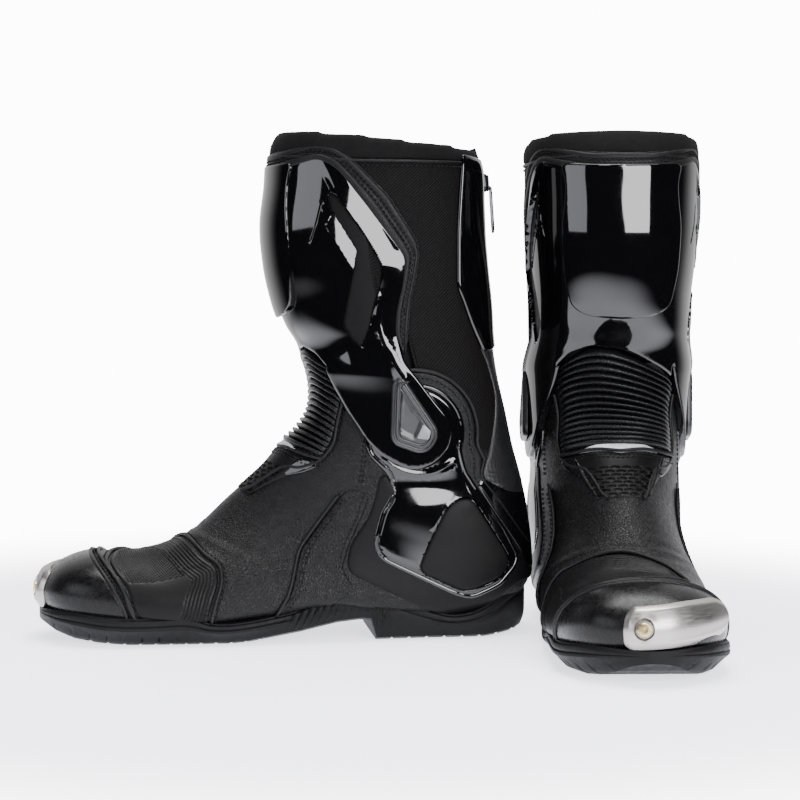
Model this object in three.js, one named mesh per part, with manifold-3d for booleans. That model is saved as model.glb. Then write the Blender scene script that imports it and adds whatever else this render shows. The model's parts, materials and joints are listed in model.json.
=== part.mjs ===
// A pair of motorcycle racing boots: a right and a left boot standing side by side.
// Each boot is modelled once in its own frame and mirrored for the other foot.
// Boot frame: x runs forward from the heel, y towards the inner (medial) side, z up, in millimetres.
import * as THREE from 'three';
import { mergeVertices } from 'three/addons/utils/BufferGeometryUtils.js';
import Module from 'manifold-3d';

const wasm = await Module();
wasm.setup();

// ---------- driving dimensions ----------
const GAP = 0.5; // clearance between neighbouring panels
const SHELL = 2.4; // thickness of fabric and moulded shells
const LEATHER = 4; // thickness of the leather upper
const RECESS = 2.9; // depth of the seats cut into the leather for the heel shells
const LINING_OUT = -4.8; // outer face of the lining below the outer surface
const LINING_IN = -7.4; // inner face of the lining
const SOLE_FIT = 1.2; // clearance between the upper and the outsole's cup
const CAP_IN = 51.9; // inner face of an ankle cap, from the middle plane
const CAP_OUT = 54.9;
const PIVOT = { x: 75, z: 128 }; // ankle hinge
const DISC_R = 21.5; // ankle disc at the end of each side arm
const BOSS_R = 31; // boss of the heel shell behind the disc
const ARM_RISE = 3.9; // how far the side arms stand off at the ankle
const ARM_TOP = 188; // the arms start to stand off below this height
const ARM_LOW = 164;
const PIN = { radius: 7, fit: 0.4, inner: 43.9 }; // ankle pin on each cap: radius, clearance, inner end
const SCREW = { radius: 4, fit: 0.4, y: 3, z: 32, from: 301.5, to: 307 }; // screw of the toe slider
const ZIP_HALF = 8.5; // half width of the rear zip
const ZIP_TOP = { x: 29, z: 290 };
const ZIP_END = { x: 22, z: 184 };
const ZIP_TAPE = { low: 178.5, high: 299, depth: 60 }; // the tape's ends, and how far it reaches forward
const ZIP_CLOSED = 8; // how far below the zip's top the slider rests
const ZIP_SLIDER = { back: -6, front: -2, half: 4.5, length: 12 };
const ZIP_PULL = { back: -8.1, front: -6.5, half: 3, top: -1.9, bottom: -32 };
const SIDE = 90; // larger than any half width
const SPLIT = 20; // the two halves of a side pair start this far from the middle plane
const REACH = { back: -50, front: 350, low: -50, high: 400 }; // larger than the boot
const SOLE = { heel: 0, heelCorner: 42, toeCorner: 246, toe: 303.5, waist: 41, ball: 52.5, heelFlare: 2 };
const BOTTOM_HALF = 24; // half width of the sole's middle, which the heel frame leaves open
const SEGMENTS = 12; // points round each section
const COARSE_SKIPS = [1, 3, 5]; // straight stretches of the leg that inner faces span in one step

const LEFT_HEADING = 270; // degrees, the way each toe points
const RIGHT_HEADING = 185.6;
const LEFT_HEEL = { x: 55.7, y: 100 }; // heel of the left boot from the heel of the right one

// Sections of the outer surface, from the collar down the leg and along the foot to the toe.
// Each lies in a plane through a front point and a rear point of the boot's middle plane.
// [front x, front z, rear x, rear z, half width, place of the widest point, front n, rear n]
const SECTIONS = [
  [152, 314, 33, 303, 52, 0.5, 2.3, 2.1],
  [159, 300, 29, 290, 53.5, 0.5, 2.3, 2.1],
  [164, 255, 27, 248, 52.5, 0.5, 2.3, 2.1],
  [162, 232, 25, 226, 51, 0.5, 2.3, 2.1],
  [156, 212, 23, 205, 49.5, 0.5, 2.3, 2.2],
  [149, 194, 22, 184, 49, 0.5, 2.4, 2.3],
  [139, 178, 19, 162, 48.5, 0.5, 2.5, 2.4],
  [133, 158, 14, 140, 47, 0.5, 2.6, 2.5],
  [134, 140, 9, 117, 46, 0.5, 2.6, 2.5],
  [143, 126, 3, 95, 45.5, 0.53, 2.5, 2.5],
  [155, 116, -1, 74, 45.5, 0.56, 2.3, 2.5],
  [174, 97, -3, 34, 46, 0.62, 2.1, 2.6],
  [184, 88.5, 9, 20, 46, 0.66, 2.1, 2.8],
  [194, 79.5, 42, 12, 46.5, 0.7, 2.1, 3],
  [214, 63, 122, 19, 49, 0.74, 2.1, 3],
  [240, 53.5, 194, 10, 51, 0.75, 2.1, 3],
  [270, 53, 252, 11, 47, 0.68, 2.3, 3],
  [283, 50, 274, 13, 41, 0.62, 2.3, 2.8],
  [293, 45, 288, 16, 32, 0.58, 2.3, 2.6],
  [300, 38, 297, 20, 20, 0.55, 2.2, 2.4],
];
const TOE_TIP = [304, 0, 29];

// ---------- small helpers ----------
const rad = THREE.MathUtils.degToRad;
const lerp = THREE.MathUtils.lerp;
const smooth = THREE.MathUtils.smoothstep;

function arc(centre, radius, from, to, steps) {
  const points = [];
  for (let i = 0; i <= steps; i++) {
    const a = rad(lerp(from, to, i / steps));
    points.push([centre.x + radius * Math.cos(a), centre.z + radius * Math.sin(a)]);
  }
  return points;
}

// Moves each side of an outline outward by the distance, with square corners.
function grow(outline, distance) {
  const turn = THREE.ShapeUtils.area(outline.map(([x, y]) => new THREE.Vector2(x, y))) > 0 ? 1 : -1;
  return outline.map((point, i) => {
    const before = outline[(i + outline.length - 1) % outline.length];
    const after = outline[(i + 1) % outline.length];
    const a = new THREE.Vector2(point[0] - before[0], point[1] - before[1]).normalize();
    const b = new THREE.Vector2(after[0] - point[0], after[1] - point[1]).normalize();
    const normal = new THREE.Vector2(a.y + b.y, -a.x - b.x).normalize();
    const miter = Math.max(0.4, normal.x * a.y - normal.y * a.x);
    const reach = (turn * distance) / miter;
    return [point[0] + normal.x * reach, point[1] + normal.y * reach];
  });
}

function solidOf(geometry) {
  const bare = geometry.clone();
  bare.deleteAttribute('normal');
  bare.deleteAttribute('uv');
  const merged = mergeVertices(bare, 1e-4);
  const vertProperties = Float32Array.from(merged.attributes.position.array);
  const triVerts = Uint32Array.from(merged.index.array);
  return new wasm.Manifold(new wasm.Mesh({ numProp: 3, vertProperties, triVerts }));
}

function geometryOf(solid) {
  const mesh = solid.getMesh();
  const geometry = new THREE.BufferGeometry();
  geometry.setAttribute('position', new THREE.BufferAttribute(new Float32Array(mesh.vertProperties), 3));
  geometry.setIndex(new THREE.BufferAttribute(new Uint32Array(mesh.triVerts), 1));
  return geometry;
}

// A prism across the boot: the outline is in x and z, the length runs along y.
function sidePrism(outline, low = -SIDE, high = SIDE) {
  const shape = new THREE.Shape(outline.map(([x, z]) => new THREE.Vector2(x, z)));
  const prism = new THREE.ExtrudeGeometry(shape, { depth: high - low, bevelEnabled: false });
  prism.rotateX(Math.PI / 2);
  prism.translate(0, high, 0);
  return solidOf(prism);
}

// A prism standing up: the outline is in x and y, the length runs along z.
function planPrism(outline, low, high) {
  const shape = new THREE.Shape(outline.map(([x, y]) => new THREE.Vector2(x, y)));
  const prism = new THREE.ExtrudeGeometry(shape, { depth: high - low, bevelEnabled: false });
  prism.translate(0, 0, low);
  return solidOf(prism);
}

function block(low, high) {
  const box = new THREE.BoxGeometry(high[0] - low[0], high[1] - low[1], high[2] - low[2]);
  box.translate((low[0] + high[0]) / 2, (low[1] + high[1]) / 2, (low[2] + high[2]) / 2);
  return solidOf(box);
}

function rod(radius, from, to, sides = 12) {
  const start = new THREE.Vector3(...from);
  const span = new THREE.Vector3(...to).sub(start);
  const cylinder = new THREE.CylinderGeometry(radius, radius, span.length(), sides);
  cylinder.translate(0, span.length() / 2, 0);
  const turn = new THREE.Quaternion().setFromUnitVectors(new THREE.Vector3(0, 1, 0), span.normalize());
  cylinder.applyQuaternion(turn);
  cylinder.translate(start.x, start.y, start.z);
  return solidOf(cylinder);
}

function union(solids) {
  return solids.reduce((sum, solid) => sum.add(solid));
}

function cut(solid, ...tools) {
  return tools.reduce((rest, tool) => rest.subtract(tool), solid);
}

// ---------- the outer surface ----------
function sectionPoint(section, angle) {
  const [fx, fz, rx, rz, half, widest, frontN, rearN] = section;
  const c = Math.cos(angle);
  const s = Math.sin(angle);
  const n = c > 0 ? frontN : rearN;
  const scale = (Math.abs(c) ** n + Math.abs(s) ** n) ** (-1 / n);
  const along = c * scale > 0 ? widest * (1 - c * scale) : widest - (1 - widest) * c * scale;
  return new THREE.Vector3(lerp(fx, rx, along), half * s * scale, lerp(fz, rz, along));
}

const RINGS = SECTIONS.map((section) => {
  const ring = [];
  for (let j = 0; j < SEGMENTS; j++) {
    ring.push(sectionPoint(section, (2 * Math.PI * j) / SEGMENTS));
  }
  return ring;
});

function ringNormal(i, j) {
  const up = RINGS[Math.max(i - 1, 0)][j];
  const down = RINGS[Math.min(i + 1, RINGS.length - 1)][j];
  const left = RINGS[i][(j + SEGMENTS - 1) % SEGMENTS];
  const right = RINGS[i][(j + 1) % SEGMENTS];
  const across = new THREE.Vector3().subVectors(right, left);
  return across.cross(new THREE.Vector3().subVectors(up, down)).normalize();
}

// The filled body inside the surface moved out by offset(point); rise lifts its top end.
// A coarse body keeps only the sections that its bends need.
function body(offset, rise = 0, coarse = false) {
  const height = typeof offset === 'function' ? offset : () => offset;
  const positions = [];
  const indices = [];
  const kept = RINGS.map((_, i) => i).filter((i) => !(coarse && COARSE_SKIPS.includes(i)));
  kept.forEach((i) => {
    const ring = RINGS[i];
    ring.forEach((point, j) => {
      const moved = point.clone().addScaledVector(ringNormal(i, j), height(point));
      positions.push(moved.x, moved.y, moved.z + (i === 0 ? rise : 0));
    });
  });
  const last = kept.length - 1;
  for (let i = 0; i < last; i++) {
    for (let j = 0; j < SEGMENTS; j++) {
      const k = (j + 1) % SEGMENTS;
      const a = i * SEGMENTS + j;
      const b = i * SEGMENTS + k;
      indices.push(a, a + SEGMENTS, b, b, a + SEGMENTS, b + SEGMENTS);
    }
  }
  const top = positions.length / 3;
  const ringCentre = new THREE.Vector3();
  RINGS[0].forEach((point) => ringCentre.add(point));
  ringCentre.divideScalar(SEGMENTS);
  positions.push(ringCentre.x, ringCentre.y, ringCentre.z + rise);
  const tip = new THREE.Vector3(...TOE_TIP);
  positions.push(tip.x + height(tip), tip.y, tip.z);
  for (let j = 0; j < SEGMENTS; j++) {
    const k = (j + 1) % SEGMENTS;
    indices.push(top, j, k, top + 1, last * SEGMENTS + k, last * SEGMENTS + j);
  }
  const geometry = new THREE.BufferGeometry();
  geometry.setAttribute('position', new THREE.BufferAttribute(new Float32Array(positions), 3));
  geometry.setIndex(indices);
  return solidOf(geometry);
}

function layer(outer, inner) {
  return body(outer).subtract(body(inner, 20, inner < 0));
}

// ---------- outlines in the side view ----------
const BAND_INNER = [
  [190, 285], [160, 287], [148, 290], [135, 294], [129, 292], [123, 288], [109, 271], [84, 238],
  [82, 234], [84, 217], [87, 204], [88, 190], [84, 180],
];
const BAND_OUTER = [
  [190, 296], [159, 297.5], [151, 300.5], [134, 303.5], [127, 302], [120, 299], [110, 290],
  [93, 273], [75, 246], [73, 238], [75, 225], [78, 211], [81, 182], [82, 176],
];
const BAND = [...BAND_OUTER, ...[...BAND_INNER].reverse()];
const COLLAR_SEAM = 292;
const COLLAR = [
  [-40, COLLAR_SEAM], [111, COLLAR_SEAM], ...BAND_OUTER.slice(0, 6).reverse(), [190, 340],
  [-40, 340],
];
const BRACE = [
  ...BAND_INNER, [83, 174], [73, 161], ...arc(PIVOT, DISC_R, 130, 290, 7), [96, 115], [104, 124],
  [113, 140], [121, 157], [126, 170], [131, 179], [138, 177], [190, 170],
];
const INSET = [
  [128, 275], [122, 269], [111, 250], [98, 232], [95, 223], [99, 208], [104, 191], [108, 179],
  [113, 186], [120, 193], [116, 210], [111, 226], [110, 236], [127, 262],
];
const INSERT = [
  [190, 281], [158, 283], [149, 286], [151, 266], [148, 220], [146, 206], [150, 199], [190, 197],
];
const CALF = [
  [-40, COLLAR_SEAM - GAP], [111, COLLAR_SEAM - GAP], ...BAND_OUTER.slice(6),
  ...arc(PIVOT, 35, 84, 190, 5), [-40, 107.7],
];
const BELLOWS = [
  [128, 172], [122, 165], [119, 157], [118.5, 151], [120.5, 144], [122.5, 132], [125, 121],
  [131, 113.8], [145, 114.8], [155, 116.8], [190, 122], [190, 164], [137, 171],
];
const INSTEP = [
  [126, 117.5], [131, 109.7], [144, 104.5], [153, 105], [162, 99.5], [172, 92.5], [181, 90],
  [187, 94], [190, 121], [155, 115.9], [145, 113.9], [131, 112.9],
];
const UPPER = [
  [-40, 77], ...arc(PIVOT, BOSS_R + 0.3, 204, 378, 6), [109, 141], [117.5, 143.5], [120, 142],
  [122, 132], [125, 120], [131, 109.2], [144, 104], [153, 104.5], [162, 99], [172, 92], [181, 89.5],
  [190, 95], [275, 62], [274, 56], [267, 47], [259, 34], [252, 20], [249, 5], [-40, 5],
];
const TOE_CAP = [
  [275.6, 62], [274.6, 56], [267.6, 47], [259.6, 34], [252.6, 20], [249.6, 5], [330, 5], [330, 62],
];
const HEEL_SHELL = [
  ...arc(PIVOT, BOSS_R, -28, 200, 10), [43, 105], [35, 93], [17, 67], [8.5, 51], [10, 44], [21, 32],
  [37, 25.5], [43, 25.5], [51, 28], [94, 49], [98, 53], [101, 60], [100, 66], [96, 81], [90, 90],
  [91, 102],
];
const HEEL_INSERT = [
  [40, 88], [18, 53], [16, 47], [22, 38], [40, 31.5], [46, 31.5], [69, 42], [72, 45.5], [71, 49],
  [66, 61], [56, 81], [50, 86.5],
];
const HEEL_FRAME = [
  [94, 103], [97.5, 90], [102, 73], [114, 61], [117, 48], [114, 42.5], [108, 39.5], [87, 29],
  [65, 18.5], [51, 14.5], [37, 16.5], [22, 24], [8, 33.5], [-20, 36], [-20, 44], [12, 46], [50, 45],
  [84, 60], [90, 78], [86, 92],
];
const HEEL_COUNTER = [
  [30, 101], [27, 94], [14, 77], [6, 64], [1.5, 54], [-2, 45], [-30, 45], [-30, 86], [7, 88.5], [17, 91.5],
];
const FLAP = [
  [46, 299], [47.5, 277], [49, 253], [49, 217], [45, 208], [39, 190], [31, 176], [-10, 174], [-10, 299],
];
const PAD_SIDE = [
  [216, 80], [214, 68], [201, 64], [193, 56], [192, 47], [198, 30], [204, 5], [248.5, 5], [251.5, 20],
  [258.5, 34], [266.5, 47], [273, 56], [274, 80],
];
const PAD_PLAN = [
  [180, SIDE], [196, 30], [212, 4], [225, -20], [240, -26], [250, -24], [262, 0], [274, 30], [290, SIDE],
];
const SLIDER_PLAN = [[256, -SIDE], [256, -30], [280, -10], [290, 15], [330, 15], [330, -SIDE]];
const SLIDER_SIDE = [[250, 21.5], [270, 21], [330, 21], [330, 43.5], [290, 43.5], [262, 41], [250, 39]];
const CAP = [
  [86, 164], [90, 159], [91, 127], [88.5, 121.5], [73, 116], [66.5, 118], [62, 124], [61.5, 131],
  [83, 163],
];

// Heights of the outsole's top edge and underside along the foot, as [x, z] points.
const SOLE_TOP = [
  [-2, 33], [11, 32.5], [22, 23], [37, 15.5], [51, 13.5], [65, 17.5], [87, 28], [101, 35.5],
  [108, 38], [115, 37], [127, 29], [146, 19], [175, 14], [191, 12.5], [202, 13.5], [209, 16.5],
  [218, 18], [234, 17], [250, 17], [267, 18], [282, 20], [300, 19], [306, 18],
];
const SOLE_UNDER = [
  [-2, 14], [1, 9], [4, 5], [10, 2.5], [22, 0.8], [30, 0], [98, 0], [101, 12.5], [108, 12.5],
  [122, 11], [136, 8], [145, 6], [164, 3], [176, 1], [188, 0], [250, 0], [268, 1.2], [283, 3.5],
  [294, 7.5], [300, 11], [306, 14],
];
const SOLE_STATIONS = [
  -0.5, 1, 4, 10, 22, 37, 51, 65, 87, 98, 101, 115, 127, 146, 164, 188, 209, 234, 250, 268, 283, 294,
  300, 303,
];
// The foot's bottom line, from the heel to the toe.
const BOTTOM = [
  [9, 20], [42, 12], [82, 14], [122, 19], [158, 14], [194, 10], [225, 10], [252, 11], [274, 13],
  [297, 20],
];

function heightAt(line, x) {
  const i = Math.max(1, line.findIndex(([px]) => px >= x));
  const [x0, z0] = line[i - 1];
  const [x1, z1] = line[i];
  return lerp(z0, z1, THREE.MathUtils.clamp((x - x0) / (x1 - x0), 0, 1));
}

// A strip between two heights above the foot's bottom line.
function bottomStrip(low, high) {
  const lower = BOTTOM.map(([x, z]) => [x, z + low]);
  const upper = BOTTOM.map(([x, z]) => [x, z + high]).reverse();
  return sidePrism([...lower, ...upper]);
}

// ---------- sub-parts ----------
// How much of its full width the outsole has at x, where its heel and toe round off.
function soleRound(x) {
  const behind = Math.max(0, SOLE.heelCorner - x) / (SOLE.heelCorner - SOLE.heel + 1);
  const ahead = Math.max(0, x - SOLE.toeCorner) / (SOLE.toe - SOLE.toeCorner + 0.5);
  return Math.sqrt(Math.max(0.02, 1 - behind ** 2) * Math.max(0.02, 1 - ahead ** 2));
}

function outsole() {
  const positions = [];
  const indices = [];
  SOLE_STATIONS.forEach((x) => {
    const top = heightAt(SOLE_TOP, x);
    const under = heightAt(SOLE_UNDER, x);
    const flare = SOLE.heelFlare * (smooth(x, 60, 115) - smooth(x, 115, 160));
    const round = soleRound(x);
    const wide = lerp(SOLE.waist, SOLE.ball, smooth(x, 110, 190)) * round + flare;
    const flat = wide * lerp(0.93, 0.95, smooth(x, 80, 200));
    const edge = Math.min(2, (top - under) * 0.2);
    const half = [
      [wide, top], [wide, lerp(under, top, 0.45)], [flat, under + edge], [flat - 2.5 * round, under],
    ];
    const mirrored = [...half].reverse().map(([y, z]) => [-y, z]);
    [...half, ...mirrored].forEach(([y, z]) => positions.push(x, y, z));
  });
  const size = 8;
  const end = (SOLE_STATIONS.length - 1) * size;
  for (let a = 0; a < end; a++) {
    const b = a % size === size - 1 ? a + 1 - size : a + 1;
    indices.push(a, a + size, b, b, a + size, b + size);
  }
  for (let j = 1; j < size - 1; j++) {
    indices.push(0, j, j + 1, end, end + j + 1, end + j);
  }
  const geometry = new THREE.BufferGeometry();
  geometry.setAttribute('position', new THREE.BufferAttribute(new Float32Array(positions), 3));
  geometry.setIndex(indices);
  return solidOf(geometry).subtract(body(SOLE_FIT));
}

function armRise(point) {
  return ARM_RISE * (1 - smooth(point.z, ARM_LOW, ARM_TOP));
}

function zipDirection() {
  return new THREE.Vector3(ZIP_END.x - ZIP_TOP.x, 0, ZIP_END.z - ZIP_TOP.z).normalize();
}

// Places a solid made in the zip's own frame: x out of the boot, y across, z up the zip line.
function alongZip(solid, distance) {
  const down = zipDirection();
  const start = new THREE.Vector3(ZIP_TOP.x, 0, ZIP_TOP.z).addScaledVector(down, distance);
  const turn = Math.atan2(-down.x, -down.z) * (180 / Math.PI);
  return solid.rotate([0, turn, 0]).translate([start.x, start.y, start.z]);
}

function halfSpace(low, high) {
  return block([REACH.back, low, REACH.low], [REACH.front, high, REACH.high]);
}

// A pin through the boot from side to side.
function crossRod(radius, from, to) {
  return rod(radius, [PIVOT.x, from, PIVOT.z], [PIVOT.x, to, PIVOT.z]);
}

function screwRod(radius, from, to) {
  return rod(radius, [from, SCREW.y, SCREW.z], [to, SCREW.y, SCREW.z]);
}

// The space of the rear zip's tape, widened by the clearance.
function zipRegion(clearance) {
  return block(
    [-20, -ZIP_HALF - clearance, ZIP_TAPE.low - clearance],
    [ZIP_TAPE.depth, ZIP_HALF + clearance, ZIP_TAPE.high + (clearance > 0 ? 30 : 0)],
  );
}

// The heel frame's space: a side outline that leaves the sole's middle open.
function frameRegion(clearance) {
  const middle = BOTTOM_HALF - clearance;
  return sidePrism(grow(HEEL_FRAME, clearance)).subtract(block([14, -middle, -5], [200, middle, 60]));
}

function shellRegion(clearance) {
  const outline = grow(HEEL_SHELL, clearance);
  return sidePrism(outline, SPLIT, SIDE).add(sidePrism(outline, -SIDE, -SPLIT));
}

function padRegion(clearance) {
  const plan = planPrism(grow(PAD_PLAN, clearance), 15 - clearance, 90);
  return sidePrism(grow(PAD_SIDE, clearance)).intersect(plan);
}

function makeParts() {
  const skin = layer(0, -SHELL);
  const plateSkin = layer(-0.2, -2);
  const medial = halfSpace(SPLIT, SIDE);
  const lateral = halfSpace(-SIDE, -SPLIT);
  const bandGap = sidePrism(grow(BAND, GAP));
  const counterGap = sidePrism(grow(HEEL_COUNTER, GAP));
  const pinHoles = crossRod(PIN.radius + PIN.fit, -SIDE, SIDE);
  const screwHole = screwRod(SCREW.radius + SCREW.fit, 298, 330);
  const seats = union([frameRegion(GAP), shellRegion(GAP), counterGap]).subtract(body(-RECESS));
  const heelInsert = plateSkin.intersect(sidePrism(HEEL_INSERT));
  const heelShell = cut(
    skin.intersect(sidePrism(HEEL_SHELL)),
    sidePrism(grow(HEEL_INSERT, GAP)), pinHoles,
  );
  const shinSkin = body(armRise).subtract(body((point) => armRise(point) - SHELL, 20, true));
  const inset = plateSkin.intersect(sidePrism(INSET));
  const ankleCap = union([
    sidePrism(CAP, CAP_IN, CAP_OUT),
    crossRod(PIN.radius, PIN.inner, CAP_IN + 0.5),
  ]);
  const sliderRegion = planPrism(SLIDER_PLAN, 10, 60).intersect(sidePrism(SLIDER_SIDE));
  const sliderHalf = ZIP_SLIDER.length / 2;
  return {
    outsole: outsole(),
    insole_board: body(-LEATHER - 0.4).intersect(bottomStrip(LEATHER + 0.5, LEATHER + 2.7)),
    footbed: body(-LEATHER - 0.6).intersect(bottomStrip(LEATHER + 3.2, LEATHER + 6.6)),
    upper: cut(
      layer(0, -LEATHER).intersect(sidePrism(UPPER)),
      seats, padRegion(GAP), sidePrism(grow(INSTEP, GAP)),
    ),
    toe_cap: cut(skin.intersect(sidePrism(TOE_CAP)), screwHole),
    toe_slider: cut(layer(4, GAP).intersect(sliderRegion), screwHole),
    slider_screw: screwRod(SCREW.radius, SCREW.from, SCREW.to),
    shift_pad: layer(0.8, -SHELL).intersect(padRegion(0)),
    instep_panel: layer(0.3, -SHELL).intersect(sidePrism(INSTEP)),
    heel_frame: cut(skin.intersect(frameRegion(0)), shellRegion(GAP), counterGap),
    heel_shell_medial: heelShell.intersect(medial),
    heel_shell_lateral: heelShell.intersect(lateral),
    heel_insert_medial: heelInsert.intersect(medial),
    heel_insert_lateral: heelInsert.intersect(lateral),
    heel_counter: skin.intersect(sidePrism(HEEL_COUNTER)),
    bellows: skin.intersect(sidePrism(BELLOWS)),
    lining: cut(
      body(LINING_OUT, 0, true),
      body(LINING_IN, 20, true), bottomStrip(-20, LEATHER + 7.4),
    ),
    shin_brace: cut(
      shinSkin.intersect(sidePrism(BRACE)),
      bandGap, sidePrism(grow(INSET, GAP)), sidePrism(grow(INSERT, GAP)), pinHoles,
    ),
    shin_insert: layer(0.8, -2).intersect(sidePrism(INSERT)),
    brace_inset_medial: inset.intersect(medial),
    brace_inset_lateral: inset.intersect(lateral),
    ankle_cap_medial: ankleCap,
    ankle_cap_lateral: ankleCap.mirror([0, 1, 0]),
    calf_panel: cut(skin.intersect(sidePrism(CALF)), bandGap, zipRegion(GAP)),
    trim_band: layer(0.8, -2.2).intersect(sidePrism(BAND)),
    collar: cut(layer(1, -SHELL).intersect(sidePrism(COLLAR)), bandGap, zipRegion(GAP)),
    zip_tape: skin.intersect(zipRegion(0)),
    rear_flap: layer(2.8, 1.2).intersect(sidePrism(FLAP, 11, SIDE)),
    zip_slider: alongZip(block(
      [ZIP_SLIDER.back, -ZIP_SLIDER.half, -sliderHalf],
      [ZIP_SLIDER.front, ZIP_SLIDER.half, sliderHalf],
    ), ZIP_CLOSED),
    zip_pull: alongZip(block(
      [ZIP_PULL.back, -ZIP_PULL.half, ZIP_PULL.bottom],
      [ZIP_PULL.front, ZIP_PULL.half, ZIP_PULL.top],
    ), ZIP_CLOSED),
  };
}

const SKIN_LOOK = {
  leather: { color: 0x17171a, roughness: 0.55, metalness: 0 },
  fabric: { color: 0x141416, roughness: 0.9, metalness: 0 },
  gloss: { color: 0x08080a, roughness: 0.12, metalness: 0 },
  matte: { color: 0x26272b, roughness: 0.6, metalness: 0 },
  rubber: { color: 0x121212, roughness: 0.8, metalness: 0 },
  steel: { color: 0xb5b2ad, roughness: 0.3, metalness: 1 },
  brass: { color: 0xc4a25e, roughness: 0.35, metalness: 1 },
  foam: { color: 0x303034, roughness: 0.95, metalness: 0 },
};
const LOOK_OF = {
  outsole: 'rubber', insole_board: 'foam', footbed: 'foam', upper: 'leather', toe_cap: 'leather',
  toe_slider: 'steel', slider_screw: 'brass', shift_pad: 'rubber', instep_panel: 'rubber',
  heel_frame: 'matte', heel_shell_medial: 'gloss', heel_shell_lateral: 'gloss',
  heel_insert_medial: 'matte', heel_insert_lateral: 'matte', heel_counter: 'gloss',
  bellows: 'leather', lining: 'fabric', shin_brace: 'gloss', shin_insert: 'gloss',
  brace_inset_medial: 'matte', brace_inset_lateral: 'matte', ankle_cap_medial: 'matte',
  ankle_cap_lateral: 'matte', calf_panel: 'fabric', trim_band: 'leather', collar: 'fabric',
  zip_tape: 'fabric', rear_flap: 'gloss', zip_slider: 'steel', zip_pull: 'steel',
};

function makeBoot(prefix, parts, mirrored) {
  const boot = new THREE.Group();
  Object.entries(parts).forEach(([name, part]) => {
    const solid = mirrored ? part.mirror([0, 1, 0]) : part;
    const mesh = new THREE.Mesh(geometryOf(solid), new THREE.MeshStandardMaterial(SKIN_LOOK[LOOK_OF[name]]));
    mesh.name = `${prefix}_${name}`;
    boot.add(mesh);
  });
  return boot;
}

const parts = makeParts();
const rightBoot = makeBoot('right', parts, false);
rightBoot.rotation.z = rad(RIGHT_HEADING);
const leftBoot = makeBoot('left', parts, true);
leftBoot.rotation.z = rad(LEFT_HEADING);
leftBoot.position.set(LEFT_HEEL.x, LEFT_HEEL.y, 0);

const pair = new THREE.Group();
pair.add(rightBoot, leftBoot);
pair.updateMatrixWorld(true);
const box = new THREE.Box3().setFromObject(pair, true);
const group = new THREE.Group();
group.add(pair);
pair.position.set(-(box.min.x + box.max.x) / 2, -(box.min.y + box.max.y) / 2, -box.min.z);

export default group;
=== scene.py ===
"""The looks of a pair of motorcycle racing boots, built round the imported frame.

Each boot is made once, in its own frame, in millimetres: x forward from the heel, y towards the
inner (medial) side, z up. place() then puts every piece on both feet, mirrored for the left one.
Most panels lie on one smooth skin, whose places are (a, b): a runs round the boot from the front,
positive on the medial side, and b runs down the leg and along the foot to the toe.
"""
import json
import math

import bpy
import numpy as np
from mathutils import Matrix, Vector
from mathutils.geometry import delaunay_2d_cdt
from mathutils.kdtree import KDTree


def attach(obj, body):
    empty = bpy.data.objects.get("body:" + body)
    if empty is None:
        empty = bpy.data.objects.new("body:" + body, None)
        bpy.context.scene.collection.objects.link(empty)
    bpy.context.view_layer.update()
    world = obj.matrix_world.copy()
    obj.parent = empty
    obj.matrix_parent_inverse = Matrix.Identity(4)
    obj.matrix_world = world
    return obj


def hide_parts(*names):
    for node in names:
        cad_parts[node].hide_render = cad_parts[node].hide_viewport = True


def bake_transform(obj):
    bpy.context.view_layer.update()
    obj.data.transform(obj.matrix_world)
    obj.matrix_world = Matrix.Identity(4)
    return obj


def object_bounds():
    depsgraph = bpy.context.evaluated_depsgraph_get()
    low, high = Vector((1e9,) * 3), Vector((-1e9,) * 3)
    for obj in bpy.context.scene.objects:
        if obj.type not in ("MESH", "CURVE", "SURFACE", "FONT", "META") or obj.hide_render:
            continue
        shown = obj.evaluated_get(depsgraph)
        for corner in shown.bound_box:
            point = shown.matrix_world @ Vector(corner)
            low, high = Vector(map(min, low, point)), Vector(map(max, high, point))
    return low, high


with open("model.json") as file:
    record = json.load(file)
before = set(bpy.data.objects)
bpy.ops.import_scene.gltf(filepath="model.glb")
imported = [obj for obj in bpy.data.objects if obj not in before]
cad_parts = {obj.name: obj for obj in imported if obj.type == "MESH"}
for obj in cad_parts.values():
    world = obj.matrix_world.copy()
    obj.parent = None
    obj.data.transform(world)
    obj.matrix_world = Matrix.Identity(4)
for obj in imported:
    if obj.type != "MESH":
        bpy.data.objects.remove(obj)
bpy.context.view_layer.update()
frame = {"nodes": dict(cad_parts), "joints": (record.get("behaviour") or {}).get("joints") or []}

# ---------- dimensions, in millimetres in the boot's own frame ----------
MM = 0.001
GIRTH = 60.0  # length given to one radian round the boot, about its mean radius
PIVOT = (75.0, 128.0)
BOSS_R = 31.0
ARM_RISE = 3.9
FRONT, REAR = 175.0, -40.0  # side-view places beyond the skin, which fall on its middle line

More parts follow.
